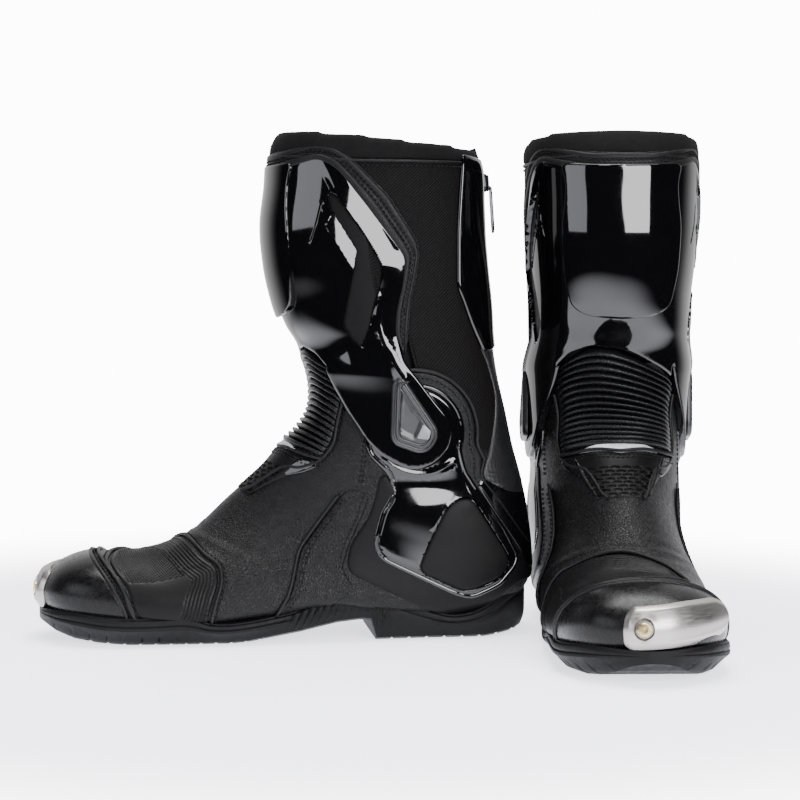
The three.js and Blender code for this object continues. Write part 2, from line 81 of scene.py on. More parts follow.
# front x, front z, rear x, rear z, half width, place of the widest point, front n, rear n
SECTIONS = np.array([
    [152, 314, 33, 303, 52, 0.5, 2.3, 2.1],
    [159, 300, 29, 290, 53.5, 0.5, 2.3, 2.1],
    [161.5, 278, 28, 269, 53.2, 0.5, 2.3, 2.1],
    [164, 255, 27, 248, 52.5, 0.5, 2.3, 2.1],
    [162, 232, 25, 226, 51, 0.5, 2.3, 2.1],
    [156, 212, 23, 205, 49.5, 0.5, 2.3, 2.2],
    [149, 194, 22, 184, 49, 0.5, 2.4, 2.3],
    [139, 178, 19, 162, 48.5, 0.5, 2.5, 2.4],
    [133, 158, 14, 140, 47, 0.5, 2.6, 2.5],
    [134, 140, 9, 117, 46, 0.5, 2.6, 2.5],
    [143, 126, 3, 95, 45.5, 0.53, 2.5, 2.5],
    [155, 116, -1, 74, 45.5, 0.56, 2.3, 2.5],
    [165, 105, -3.5, 52, 46, 0.6, 2.2, 2.5],
    [174, 97, -3, 34, 46, 0.62, 2.1, 2.6],
    [184, 88.5, 9, 20, 46, 0.66, 2.1, 2.8],
    [194, 79.5, 42, 12, 46.5, 0.7, 2.1, 3],
    [204, 70.5, 82, 14, 47.5, 0.72, 2.1, 3],
    [214, 63, 122, 19, 49, 0.74, 2.1, 3],
    [226, 57, 158, 14, 50.5, 0.75, 2.1, 3],
    [240, 53.5, 194, 10, 51, 0.75, 2.1, 3],
    [255, 52.8, 225, 10, 49.8, 0.72, 2.2, 3],
    [270, 53, 252, 11, 47, 0.68, 2.3, 3],
    [283, 50, 274, 13, 41, 0.62, 2.3, 2.8],
    [293, 45, 288, 16, 32, 0.58, 2.3, 2.6],
    [300, 38, 297, 20, 20, 0.55, 2.2, 2.4],
    [304, 29.5, 303, 28.5, 1, 0.5, 2, 2],
], float)


# ---------- the skin ----------
def knot_distances():
    step = np.diff(SECTIONS, axis=0)
    front = np.hypot(step[:, 0], step[:, 1])
    rear = np.hypot(step[:, 2], step[:, 3])
    return np.concatenate([[0], np.cumsum((front + rear + np.abs(step[:, 4])) / 2)])


KNOTS = knot_distances()
TOE_END = KNOTS[-1]


def knot_slopes():
    """The sections' rates of change at each knot, from the stretches on both sides of it."""
    h = np.diff(KNOTS)[:, None]
    d = np.diff(SECTIONS, axis=0) / h
    inner = (h[1:] * d[:-1] + h[:-1] * d[1:]) / (h[:-1] + h[1:])
    return np.vstack([d[:1], inner, d[-1:]])


SLOPES = knot_slopes()


def section(b):
    """The section's values at b, smooth through SECTIONS."""
    b = np.clip(np.asarray(b, float), 0, TOE_END)
    i = np.clip(np.searchsorted(KNOTS, b, side="right") - 1, 0, len(KNOTS) - 2)
    h = (KNOTS[i + 1] - KNOTS[i])[..., None]
    f = ((b - KNOTS[i])[..., None]) / h
    start, end = SECTIONS[i], SECTIONS[i + 1]
    out, into = SLOPES[i] * h, SLOPES[i + 1] * h
    return (start * (1 + 2 * f) * (1 - f) ** 2 + out * f * (1 - f) ** 2
            + end * f * f * (3 - 2 * f) + into * f * f * (f - 1))


def skin(places):
    """Points of the outer surface at the places (a, b)."""
    places = np.asarray(places, float)
    t = places[..., 0] / GIRTH
    s = section(places[..., 1])
    c, w = np.cos(t), np.sin(t)
    n = np.where(c > 0, s[..., 6], s[..., 7])
    scale = (np.abs(c) ** n + np.abs(w) ** n) ** (-1 / n)
    a, widest = c * scale, s[..., 5]
    along = np.where(a > 0, widest * (1 - a), widest - (1 - widest) * a)
    x = s[..., 0] + (s[..., 2] - s[..., 0]) * along
    z = s[..., 1] + (s[..., 3] - s[..., 1]) * along
    return np.stack([x, s[..., 4] * w * scale, z], -1)


def slopes(chart, places, step=0.05):
    """How the chart's points move with a and with b."""
    across, down = np.array([step, 0]), np.array([0, step])
    low = np.minimum(places, np.array([1e9, TOE_END - 2 * step]))
    da = (chart(low + across) - chart(low - across)) / (2 * step)
    db = (chart(low + down) - chart(low - down)) / (2 * step)
    return da, db


def normals(chart, places):
    da, db = slopes(chart, places)
    n = np.cross(db, da)
    return n / np.maximum(np.linalg.norm(n, axis=-1, keepdims=True), 1e-9)


def lifted(chart, places, height):
    height = np.broadcast_to(height, np.shape(places)[:-1])
    return chart(places) + normals(chart, places) * height[..., None]


FINE_B = np.linspace(0, TOE_END, 3000)
FINE = section(FINE_B)


def from_side(points):
    """Places on the medial side of the skin of side-view points (x, z)."""
    fx, fz, rx, rz, _, widest, front_n, rear_n = FINE.T
    span = np.hypot(rx - fx, rz - fz)
    places = []
    for x, z in np.asarray(points, float)[:, :2]:
        away = ((rx - fx) * (z - fz) - (rz - fz) * (x - fx)) / span
        along = ((x - fx) * (rx - fx) + (z - fz) * (rz - fz)) / span ** 2
        hits = np.flatnonzero(away[1:] * away[:-1] <= 0)
        i = hits[np.argmin(np.abs(along[hits] - 0.5))] if len(hits) else np.argmin(np.abs(away))
        if along[i] < widest[i]:
            n, a = front_n[i], min(1.0, 1 - along[i] / widest[i])
        else:
            n, a = rear_n[i], -min(1.0, (along[i] - widest[i]) / (1 - widest[i]))
        w = max(0.0, 1 - abs(a) ** n) ** (1 / n)
        places.append([math.atan2(w, a) * GIRTH, FINE_B[i]])
    return np.array(places)


GRID = np.stack(np.meshgrid(
    np.linspace(-math.pi, math.pi, 181) * GIRTH, np.linspace(1, TOE_END - 1, 320), indexing="ij"), -1)
GRID_POINTS = skin(GRID)


def nearest(points):
    """Places on the skin nearest to the points (x, y, z)."""
    flat, spots = GRID.reshape(-1, 2), GRID_POINTS.reshape(-1, 3)
    points = np.asarray(points, float)
    places = np.array([flat[np.argmin(((spots - p) ** 2).sum(1))] for p in points])
    for _ in range(6):
        da, db = slopes(skin, places)
        miss = points - skin(places)
        aa, ab, bb = (da * da).sum(1), (da * db).sum(1), (db * db).sum(1)
        ra, rb = (da * miss).sum(1), (db * miss).sum(1)
        det = np.maximum(aa * bb - ab * ab, 1e-6)
        move = np.stack([bb * ra - ab * rb, aa * rb - ab * ra], 1) / det[:, None]
        places = places + np.clip(move, -4, 4)
    return places


def mirrored(places):
    return np.asarray(places) * np.array([-1, 1])


# ---------- lines ----------
def resample(points, step, closed=True):
    points = np.asarray(points, float)
    if closed:
        points = np.vstack([points, points[:1]])
    along = np.concatenate([[0], np.cumsum(np.linalg.norm(np.diff(points, axis=0), axis=1))])
    count = max(3, int(round(along[-1] / step)))
    spots = np.linspace(0, along[-1], count + 1)[:-1 if closed else None]
    return np.stack([np.interp(spots, along, points[:, k]) for k in range(points.shape[1])], 1)


def rounded(points, radius=3.0, closed=True, step=1.5):
    """A dense line through the points with rounded corners."""
    points = np.asarray(points, float)
    count, line = len(points), []
    for i, p in enumerate(points):
        if not closed and i in (0, count - 1):
            line.append(p)
            continue
        before, after = points[i - 1] - p, points[(i + 1) % count] - p
        reach = min(radius, 0.45 * np.linalg.norm(before), 0.45 * np.linalg.norm(after))
        start = p + before / max(np.linalg.norm(before), 1e-9) * reach
        end = p + after / max(np.linalg.norm(after), 1e-9) * reach
        for f in np.linspace(0, 1, 7):
            line.append(start * (1 - f) ** 2 + p * 2 * f * (1 - f) + end * f * f)
    return resample(line, step, closed)


def arc(centre, radius, start, end, count=12):
    angles = np.radians(np.linspace(start, end, count))
    return [(centre[0] + radius * math.cos(t), centre[1] + radius * math.sin(t)) for t in angles]


def side_outline(points, radius=3.0):
    return from_side(rounded(points, radius))


def side_line(points, radius=6.0):
    return from_side(rounded(points, radius, closed=False))


def off_middle(half, middle):
    """The part of the line off the boot's middle line, with its ends put on it."""
    away = np.flatnonzero(np.abs(half[:, 0] - middle) > 1e-3)
    half = half[max(0, away[0] - 1):away[-1] + 2].copy()
    half[0, 0] = half[-1, 0] = middle
    return half


def across_front(path, radius=3.0):
    """A closed outline from the front, down the medial side and back to the front, and its mirror."""
    half = off_middle(side_line(path, radius), 0)
    return np.vstack([half, mirrored(half)[::-1][1:-1]])


def shifted(chart, line, distance, closed=False):
    """The line moved sideways on its chart, by millimetres of the real surface."""
    ahead, behind = np.roll(line, -1, 0), np.roll(line, 1, 0)
    if not closed:
        ahead[-1], behind[0] = line[-1], line[0]
    along = ahead - behind
    left = np.stack([-along[:, 1], along[:, 0]], 1)
    da, db = slopes(chart, line)
    aa, ab, bb = (da * da).sum(1), (da * db).sum(1), (db * db).sum(1)
    det = np.maximum(aa * bb - ab * ab, 1e-6)
    step = np.stack([bb * left[:, 0] - ab * left[:, 1], aa * left[:, 1] - ab * left[:, 0]], 1)
    step /= det[:, None]
    size = np.sqrt(aa * step[:, 0] ** 2 + 2 * ab * step[:, 0] * step[:, 1] + bb * step[:, 1] ** 2)
    return line + step / np.maximum(size, 1e-9)[:, None] * distance


def area_of(line):
    x, y = line[:, 0], line[:, 1]
    return 0.5 * float(np.sum(x * np.roll(y, -1) - y * np.roll(x, -1)))


def inside(places, ring):
    """Which places lie inside the closed ring."""
    hit = np.zeros(len(places), bool)
    x, y = places[:, 0], places[:, 1]
    for (x0, y0), (x1, y1) in zip(ring, np.roll(ring, -1, 0)):
        crosses = (y0 > y) != (y1 > y)
        if y1 != y0:
            hit ^= crosses & (x < (x1 - x0) * (y - y0) / (y1 - y0) + x0)
    return hit


def distance_to(points, line):
    """The distance from each point to the nearest of the line's points, made dense first."""
    dense = resample(line, 0.4, closed=False)
    tree = KDTree(len(dense))
    for i, p in enumerate(dense):
        tree.insert(p, i)
    tree.balance()
    return np.array([tree.find(p)[2] for p in points])


# ---------- mesh pieces, as (points, faces, places) in the boot's frame ----------
def fill(ring, inner):
    """Triangles of the closed ring, through the inner places."""
    places = np.vstack([ring, inner]) if len(inner) else ring
    count = len(ring)
    edges = [(i, (i + 1) % count) for i in range(count)]
    result = delaunay_2d_cdt([Vector(p) for p in places], edges, [list(range(count))], 1, 1e-5)
    origin = [source[0] if source else -1 for source in result[3]]
    faces = [[origin[i] for i in face] for face in result[2]]
    faces = [f for f in faces if min(f) >= 0]
    used = np.unique(np.concatenate([np.arange(count), np.ravel(faces)]))
    renumber = {old: new for new, old in enumerate(used.tolist())}
    return places[used], [[renumber[i] for i in f] for f in faces]


def lattice(ring, spacing):
    low, high = ring.min(0), ring.max(0)
    spots = []
    for k, y in enumerate(np.arange(low[1] + spacing / 2, high[1], spacing * 0.87)):
        x = np.arange(low[0] + (spacing / 2) * (k % 2), high[0], spacing)
        spots.append(np.column_stack([x, np.full(len(x), y)]))
    spots = np.vstack(spots)
    return spots[inside(spots, ring)]


def panel(outline, profile, chart=skin, spacing=2.6, rise=None, relief=None, grooves=(), thick=2.0):
    """A closed plate over the outline. profile lists (distance from the edge, height above the skin);
    rise(points) lifts the whole plate, relief(points, places) its top, and grooves are
    (line, profile) pairs that cut or raise the top beside a line."""
    ring = resample(outline, 1.5)
    if area_of(ring) < 0:
        ring = ring[::-1].copy()
    edge_points = chart(ring)
    edge_loop = np.vstack([edge_points, edge_points[:1]])
    distances, heights = np.array(profile, float).T
    extra = [shifted(chart, ring, d, closed=True) for d in distances if d > 0]
    for line, groove in grooves:
        for d, _ in groove:
            extra += [shifted(chart, line, d), shifted(chart, line, -d)] if d > 0 else [line]
    wanted = np.concatenate([np.full(len(e), d) for e, d in zip(extra, [d for d in distances if d > 0])]
                            + [np.full(len(e), 0.4) for e in extra[int((distances > 0).sum()):]])
    extra = np.vstack(extra)
    keep = inside(extra, ring)
    extra, wanted = extra[keep], wanted[keep]
    keep = distance_to(chart(extra), edge_loop) > wanted * 0.9
    extra = extra[keep]
    grid = lattice(ring, spacing)
    if len(grid):
        away = distance_to(chart(grid), edge_loop)
        grid = grid[away > distances[-1] + spacing * 0.4]
    for line, groove in grooves:
        reach = max(d for d, _ in groove)
        if len(grid):
            grid = grid[distance_to(chart(grid), chart(line)) > reach + 0.4]
    inner = np.vstack([extra, grid])
    places, faces = fill(ring, inner)
    base = chart(places)
    away = distance_to(base, edge_loop)
    away[:len(ring)] = 0
    height = np.interp(away, distances, heights)
    for line, groove in grooves:
        d, h = np.array(groove, float).T
        height = height + np.interp(distance_to(base, chart(line)), d, h)
    if relief is not None:
        height = height + relief(base, places)
    lift = rise(base) if rise is not None else np.zeros(len(base))
    normal = normals(chart, places)
    top = base + normal * (height + lift)[:, None]
    back_places, back_faces = fill(ring, lattice(ring, 9.0))
    back_base = chart(back_places)
    back_lift = rise(back_base) if rise is not None else np.zeros(len(back_base))
    back = back_base + normals(chart, back_places) * (back_lift - thick)[:, None]
    offset, count = len(top), len(ring)
    all_faces = [f[::-1] for f in faces] + [[i + offset for i in f] for f in back_faces]
    for i in range(count):
        k = (i + 1) % count
        all_faces.append([i, k, offset + k, offset + i])
    return np.vstack([top, back]), all_faces, np.vstack([places, back_places])


def tube(points, radius, sides=8, closed=False, flat=1.0, up=None):
    """A cord along the points."""
    points = np.asarray(points, float)
    ahead, behind = np.roll(points, -1, 0), np.roll(points, 1, 0)
    if not closed:
        ahead[-1], behind[0] = points[-1], points[0]
    along = ahead - behind
    along /= np.maximum(np.linalg.norm(along, axis=1, keepdims=True), 1e-9)
    up = np.tile([0.0, 0.0, 1.0], (len(points), 1)) if up is None else up
    side = np.cross(along, up)
    side /= np.maximum(np.linalg.norm(side, axis=1, keepdims=True), 1e-9)
    up = np.cross(side, along)
    radius = np.broadcast_to(radius, len(points))[:, None]
    verts = []
    for j in range(sides):
        t = 2 * math.pi * j / sides
        verts.append(points + side * radius * math.cos(t) + up * radius * flat * math.sin(t))
    verts = np.stack(verts, 1).reshape(-1, 3)
    count, faces = len(points), []
    for i in range(count if closed else count - 1):
        k = (i + 1) % count
        for j in range(sides):
            m = (j + 1) % sides
            faces.append([i * sides + j, k * sides + j, k * sides + m, i * sides + m])
    if not closed:
        faces.append(list(range(sides)))
        faces.append([(count - 1) * sides + j for j in range(sides)][::-1])
    return verts, faces, np.zeros((len(verts), 2))


def piping(line, radius, height, chart=skin, closed=False, flat=1.0):
    line = resample(line, 1.3, closed)
    return tube(lifted(chart, line, height), radius, 8, closed, flat, normals(chart, line))


STITCH = {"pitch": 3.0, "length": 2.1, "radius": 0.48}


def stitches(line, height, chart=skin, closed=False):
    """Separate short threads along a line, each dipping into the panel at its ends."""
    line = resample(line, 0.55, closed)
    points, normal = lifted(chart, line, height), normals(chart, line)
    along = np.concatenate([[0], np.cumsum(np.linalg.norm(np.diff(points, axis=0), axis=1))])
    parts = []
    for k in range(int(along[-1] // STITCH["pitch"])):
        spots = k * STITCH["pitch"] + 0.5 + np.linspace(0, STITCH["length"], 5)
        thread = np.stack([np.interp(spots, along, points[:, i]) for i in range(3)], 1)
        up = np.stack([np.interp(spots, along, normal[:, i]) for i in range(3)], 1)
        dip = np.array([-0.45, 0.0, 0.12, 0.0, -0.45])
        radius = STITCH["radius"] * np.array([0.45, 0.9, 1.0, 0.9, 0.45])
        parts.append(tube(thread + up * dip[:, None], radius, 6, up=up))
    return merged(parts)


def merged(parts):
    points, faces, places, offset = [], [], [], 0
    for p, f, uv in parts:
        points.append(p)
        places.append(uv)
        faces += [[i + offset for i in face] for face in f]
        offset += len(p)
    return np.vstack(points), faces, np.vstack(places)


def sheet(places, height, low, turn=False, closed=False):
    """A closed strip over a grid of places, or a wall round the boot if its columns close on themselves.
    It goes from the heights above the skin down to low."""
    out = lifted(skin, places, height).reshape(-1, 3)
    back = lifted(skin, places, low).reshape(-1, 3)
    rows, size = places.shape[0] - 1, places.shape[1]
    faces, offset, last = [], len(out), rows * size
    for i in range(rows):
        for j in range(size if closed else size - 1):
            k = (j + 1) % size
            quad = [i * size + j, i * size + k, (i + 1) * size + k, (i + 1) * size + j]
            faces += [quad[::-1], [q + offset for q in quad]]
    if closed:
        ring = [(j, (j + 1) % size) for j in range(size)]
        steps = [step for p, q in ring for step in ((p, q), (last + q, last + p))]
    else:
        rim = list(range(size)) + [i * size + size - 1 for i in range(1, rows + 1)]
        rim += [last + j for j in range(size - 2, -1, -1)] + [i * size for i in range(rows - 1, 0, -1)]
        steps = zip(rim, rim[1:] + rim[:1])
    faces += [[p, q, q + offset, p + offset] for p, q in steps]
    if turn:
        faces = [f[::-1] for f in faces]
    flat = places.reshape(-1, 2)
    return np.vstack([out, back]), faces, np.vstack([flat, flat])


def wrap(top, bottom, outer, inner, rows, columns=120, span=math.pi, closed=True):
    """A wall round the boot between b = top(a) and b = bottom(a), from height outer to height inner."""
    a = np.linspace(-span, span, columns + (0 if closed else 1), endpoint=not closed) * GIRTH
    f = np.linspace(0, 1, rows + 1)[:, None]
    b = top(a)[None, :] * (1 - f) + bottom(a)[None, :] * f
    places = np.stack([np.broadcast_to(a, b.shape), b], -1)
    heights = [height(places) if callable(height) else height for height in (outer, inner)]
    return sheet(places, *heights, closed=closed)


def ribbon(first, second, profile, low=-0.8, step=1.1):
    """A closed strip between two lines of the skin, with heights across it from (share, height)."""
    count = max(len(resample(first, step, False)), len(resample(second, step, False)))
    lines = []
    for line in (first, second):
        along = np.concatenate([[0], np.cumsum(np.linalg.norm(np.diff(skin(line), axis=0), axis=1))])
        spots = np.linspace(0, along[-1], count)
        lines.append(np.stack([np.interp(spots, along, line[:, k]) for k in (0, 1)], 1))
    share, height = np.array(profile, float).T
    share_of = share[None, :, None]
    places = lines[0][:, None, :] * (1 - share_of) + lines[1][:, None, :] * share_of
    return sheet(places, height, low, turn=True)


# ---------- putting pieces on both boots ----------
def boot_place(side):
    """The boot's heel on the floor, its forward direction and its medial direction, in the row frame."""
    joint = next(j for j in frame["joints"] if j["name"] == f"{side}_ankle_flex")
    forward = Vector((joint["axis"][1], -joint["axis"][0], 0)).normalized()
    heel = Vector(joint["pos_m"]) - forward * PIVOT[0] * MM
    heel.z = 0
    left = Vector((-forward.y, forward.x, 0))
    return heel, forward, left if side == "right" else -left


PLACES = {side: boot_place(side) for side in ("right", "left")}


def to_row(points, side):
    heel, forward, medial = (np.array(v) for v in PLACES[side])
    points = np.asarray(points, float) * MM
    return heel + points[:, :1] * forward + points[:, 1:2] * medial + points[:, 2:] * np.array([0, 0, 1])


def place(name, part, material, body, nodes=(), sharp=50, sides=("right", "left")):
    """Makes the piece on each boot. body is a body's name, or "ankle" for a piece that bends there, which is
    left in the row frame and attached to no body.
    """
    points, faces, places = part
    made = []
    for side in sides:
        mesh = bpy.data.meshes.new(f"{side}_{name}_form")
        turn = faces if side == "right" else [f[::-1] for f in faces]
        mesh.from_pydata(to_row(points, side).tolist(), [], turn)
        layer = mesh.uv_layers.new(name="Surface")
        loops = np.zeros(len(mesh.loops), int)
        mesh.loops.foreach_get("vertex_index", loops)
        layer.data.foreach_set("uv", (places[loops] * MM).ravel())
        mesh.shade_smooth()
        mesh.set_sharp_from_angle(angle=math.radians(sharp))
        mesh.materials.append(material)
        piece = bpy.data.objects.new(f"{side}_{name}_form", mesh)
        bpy.context.scene.collection.objects.link(piece)
        if body == "ankle":
            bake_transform(piece)
        else:
            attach(piece, f"{side}_{body}")
        if nodes:
            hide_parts(*[f"{side}_{n}" for n in nodes])
        made.append(piece)
    return made


def flip(part):
    points, faces, places = part
    return points * np.array([1, -1, 1]), [f[::-1] for f in faces], mirrored(places)


def both(part):
    return merged([part, flip(part)])


def place_pair(name, part, material, body, sharp=50):
    """The piece on the medial side and its mirror on the lateral side, each for its own node."""
    place(f"{name}_medial", part, material, body, [f"{name}_medial"], sharp)
    place(f"{name}_lateral", flip(part), material, body, [f"{name}_lateral"], sharp)


# ---------- materials ----------
class Look:
    """A procedural material: one Principled shader with bump, colour and roughness from its nodes."""

    def __init__(self, name, color, roughness, **sockets):
        self.material = bpy.data.materials.new(name)
        self.material.use_nodes = True
        self.tree = self.material.node_tree
        self.shader = self.tree.nodes["Principled BSDF"]
        self.color = color
        self.roughness = roughness
        self.set(self.shader, {"Base Color": (*color, 1), "Roughness": roughness, **sockets})
        self.bump = None

    def set(self, node, inputs):
        for key, value in inputs.items():
            if isinstance(value, bpy.types.NodeSocket):
                self.tree.links.new(value, node.inputs[key])
            else:
                node.inputs[key].default_value = value

    def add(self, kind, inputs=None, out=0, **settings):
        node = self.tree.nodes.new("ShaderNode" + kind)
        for key, value in settings.items():
            setattr(node, key, value)
        self.set(node, inputs or {})
        return node.outputs[out]

    def math(self, operation, a, b=0.0):
        return self.add("Math", {0: a, 1: b}, operation=operation)

    def spots(self, source="Object", scale=(1, 1, 1), turn=0.0):
        """Coordinates in metres: the object's own, or the surface's (a, b)."""
        coordinates = self.tree.nodes.new("ShaderNodeTexCoord").outputs[source]
        mapping = {"Vector": coordinates, "Scale": scale, "Rotation": (0, 0, turn)}
        return self.add("Mapping", mapping)

    def noise(self, cell, detail=2.0, source="Object", stretch=(1, 1, 1)):
        spots = self.spots(source, stretch)
        return self.add("TexNoise", {"Vector": spots, "Scale": 1 / (cell * MM), "Detail": detail})

    def ramp(self, value, low, high, to_low=0.0, to_high=1.0):
        return self.add("MapRange", {0: value, 1: low, 2: high, 3: to_low, 4: to_high})

    def raise_by(self, height, depth, strength=1.0):
        """Adds a height map, in millimetres at full value."""
        inputs = {"Height": height, "Distance": depth * MM, "Strength": strength}
        if self.bump is not None:
            inputs["Normal"] = self.bump
        self.bump = self.add("Bump", inputs)
        self.set(self.shader, {"Normal": self.bump})
        return self

    def shade(self, value, dark, light):
        """Varies the colour between two multiples of the base."""
        def tone(k):
            return (*(c * k for c in self.color), 1)
        mix = self.add("Mix", {0: value, 6: tone(dark), 7: tone(light)}, out=2, data_type="RGBA")
        self.set(self.shader, {"Base Color": mix})
        return self

    def polish(self, value, low, high):
        self.set(self.shader, {"Roughness": self.ramp(value, 0.3, 0.7, low, high)})
        return self


def leather(name, color, roughness, cell=1.5, depth=0.14):
    look = Look(name, color, roughness, **{"Specular IOR Level": 0.17})
    wobble = look.noise(2.5, 3)
    spots = look.add("VectorMath", {0: look.spots(), 1: look.add("VectorMath", {
        0: look.add("CombineXYZ", {0: wobble, 1: wobble, 2: wobble}), "Scale": 0.0012},
        operation="SCALE")}, operation="ADD")
    cells = look.add("TexVoronoi", {"Vector": spots, "Scale": 1 / (cell * MM)}, feature="DISTANCE_TO_EDGE")
    grain = look.ramp(cells, 0.0, 0.22)
    look.raise_by(grain, depth, 0.8).raise_by(look.noise(0.45, 3), 0.05, 0.6)
    look.shade(look.noise(14, 4), 0.75, 1.3)
    return look.polish(look.noise(3, 3), roughness - 0.07, roughness + 0.1).material


def moulded(name, color, roughness, grain=0.0, haze=0.03, **sockets):
    """Moulded plastic: gloss with faint haze and ripple, or matt with a fine grain."""
    look = Look(name, color, roughness, **sockets)
    look.raise_by(look.noise(22, 1), 0.05, 0.35)
    if grain:
        look.raise_by(look.noise(0.5, 2), grain, 0.7)
    look.shade(look.noise(20, 3), 0.8, 1.25)
    return look.polish(look.noise(5, 4), max(0.02, roughness - haze), roughness + haze).material


def twill(name, color, roughness, period=1.5, depth=0.16):
    """Diagonal ribs of woven nylon, broken up by the threads across them. The colour follows the same weave:
    a painted highlight on the rib tops and painted shade in the hollows between them.
    """
    look = Look(name, color, roughness, **{"Specular IOR Level": 0.07})
    flat = look.spots("UV")
    k = 2 * math.pi / (period * MM)
    x, y = (look.add("SeparateXYZ", {0: flat}, out=i) for i in (0, 1))
    rib = look.math("SINE", look.math("MULTIPLY", look.math("ADD", x, y), k))
    cross = look.math("SINE", look.math("MULTIPLY", look.math("SUBTRACT", x, y), k))
    weave = look.math("ADD", rib, look.math("MULTIPLY", cross, 0.55))
    look.raise_by(look.ramp(weave, -1.5, 1.5), depth).raise_by(look.noise(0.35, 2), 0.05, 0.6)
    # painted highlight and painted shade: the colour is lighter on the rib tops and darker in the hollows,
    # following the weave's height
    look.shade(look.ramp(weave, -1.0, 1.5), 0.25, 2.2)
    return look.polish(look.noise(4, 3), roughness - 0.06, roughness + 0.06).material


def knit(name, color, roughness, cell=0.55, depth=0.1):
    look = Look(name, color, roughness, **{"Specular IOR Level": 0.07})
    loops = look.add("TexVoronoi", {"Vector": look.spots(), "Scale": 1 / (cell * MM)})
    look.raise_by(loops, depth).raise_by(look.noise(6, 3), 0.3, 0.5)
    look.shade(look.noise(9, 5), 0.7, 1.4)
    return look.polish(look.noise(3, 3), roughness - 0.05, roughness + 0.05).material


def carbon(name, color, roughness, pitch=3.2):
    """Leather embossed with a basket weave: squares of ribs that alternate in direction."""
    look = Look(name, color, roughness)
    flat = look.spots("UV", turn=math.radians(45))
    x, y = (look.add("SeparateXYZ", {0: flat}, out=i) for i in (0, 1))
    check = look.add("TexChecker", {"Vector": flat, "Scale": 1 / (pitch * MM)}, out=1)
    k = 2 * math.pi / (pitch / 3 * MM)
    bars = [look.math("SINE", look.math("MULTIPLY", v, k)) for v in (x, y)]
    pick = look.add("Mix", {0: check, 2: bars[0], 3: bars[1]}, out=0, data_type="FLOAT")
    look.raise_by(look.ramp(pick, -1, 1), 0.14).raise_by(look.noise(0.5, 2), 0.03, 0.5)
    look.shade(check, 0.9, 1.12)
    return look.polish(look.noise(6, 3), roughness - 0.06, roughness + 0.08).material


def metal(name, color, roughness, stretch=(1, 1, 1), depth=0.012):
    look = Look(name, color, roughness, Metallic=1.0)
    lines = look.noise(0.35, 3, "UV", stretch)
    look.raise_by(lines, depth, 0.7).shade(look.noise(10, 4), 0.82, 1.1)
    return look.polish(lines, roughness - 0.08, roughness + 0.1).material


def rubber(name, color, roughness, depth=0.05):
    look = Look(name, color, roughness, **{"Specular IOR Level": 0.11})
    look.raise_by(look.noise(0.6, 3), depth, 0.8).raise_by(look.noise(8, 3), 0.15, 0.4)
    look.shade(look.noise(16, 5), 0.7, 1.45)
    return look.polish(look.noise(4, 4), roughness - 0.07, roughness + 0.07).material


def reflective(name):
    """Silver reflective film: fine bright beads on grey."""
    look = Look(name, (0.55, 0.56, 0.6), 0.42, Metallic=0.55)
    beads = look.add("TexVoronoi", {"Vector": look.spots(), "Scale": 1 / (0.5 * MM)})
    look.raise_by(beads, 0.06).shade(look.noise(0.9, 3), 0.45, 1.25)
    return look.polish(look.noise(1.5, 2), 0.3, 0.55).material


BLACK_LEATHER = leather("grained_black_leather", (0.0021, 0.002, 0.0022), 0.36, 1.5, 0.2)
SOFT_LEATHER = leather("soft_black_leather", (0.0032, 0.0032, 0.0034), 0.34, 1.1, 0.1)
RIB_LEATHER = leather("ribbed_black_leather", (0.0034, 0.0034, 0.0037), 0.27, 1.1, 0.06)
TOE_LEATHER = leather("polished_toe_leather", (0.0032, 0.0031, 0.0033), 0.27, 1.4, 0.02)
EDGE_LEATHER = leather("smooth_edge_leather", (0.0045, 0.0043, 0.0045), 0.42, 0.9, 0.06)
GLOSS = moulded("gloss_black_polyurethane", (0.0012, 0.0012, 0.0015), 0.055, 0.0, 0.015,
                **{"Specular IOR Level": 0.55})
SATIN = moulded("satin_grey_polyurethane", (0.012, 0.012, 0.0135), 0.33, 0.02, 0.04)
BADGE = moulded("light_grey_badge", (0.16, 0.16, 0.17), 0.35, 0.02, 0.04, Metallic=0.4)
MATTE = moulded("matte_grey_polyurethane", (0.0038, 0.0037, 0.0038), 0.5, 0.03, 0.05,
                **{"Specular IOR Level": 0.1})
# its twill colour carries a painted highlight on the rib tops and painted shade between them
FABRIC = twill("black_twill_nylon", (0.0034, 0.003, 0.003), 0.6, 2.0, 0.3)
KNIT = knit("matt_black_knit", (0.0045, 0.0045, 0.0046), 0.8)
WEAVE = carbon("basket_weave_leather", (0.0055, 0.0055, 0.006), 0.35, 2.0)
SOLE = rubber("outsole_rubber", (0.0035, 0.0035, 0.0037), 0.55)
PAD_RUBBER = rubber("shift_pad_rubber", (0.003, 0.0029, 0.003), 0.42, 0.03)
THREAD = rubber("black_thread", (0.0035, 0.0035, 0.0037), 0.4, 0.02)
STEEL = metal("brushed_steel", (0.38, 0.36, 0.345), 0.36, (0.04, 1, 1))
BRASS = metal("brass", (0.62, 0.5, 0.26), 0.3)
ZINC = metal("dark_zinc", (0.06, 0.06, 0.065), 0.32)
NYLON = moulded("zip_teeth_nylon", (0.004, 0.004, 0.0045), 0.35, 0.02, 0.05)
SILVER = reflective("silver_reflective_film")
LINING = knit("grey_mesh_lining", (0.008, 0.008, 0.009), 0.85, 1.2, 0.3)
FOAM = knit("footbed_textile", (0.012, 0.012, 0.013), 0.9, 0.8, 0.12)
BOARD = knit("insole_fibre", (0.2, 0.15, 0.1), 0.85, 0.7, 0.08)

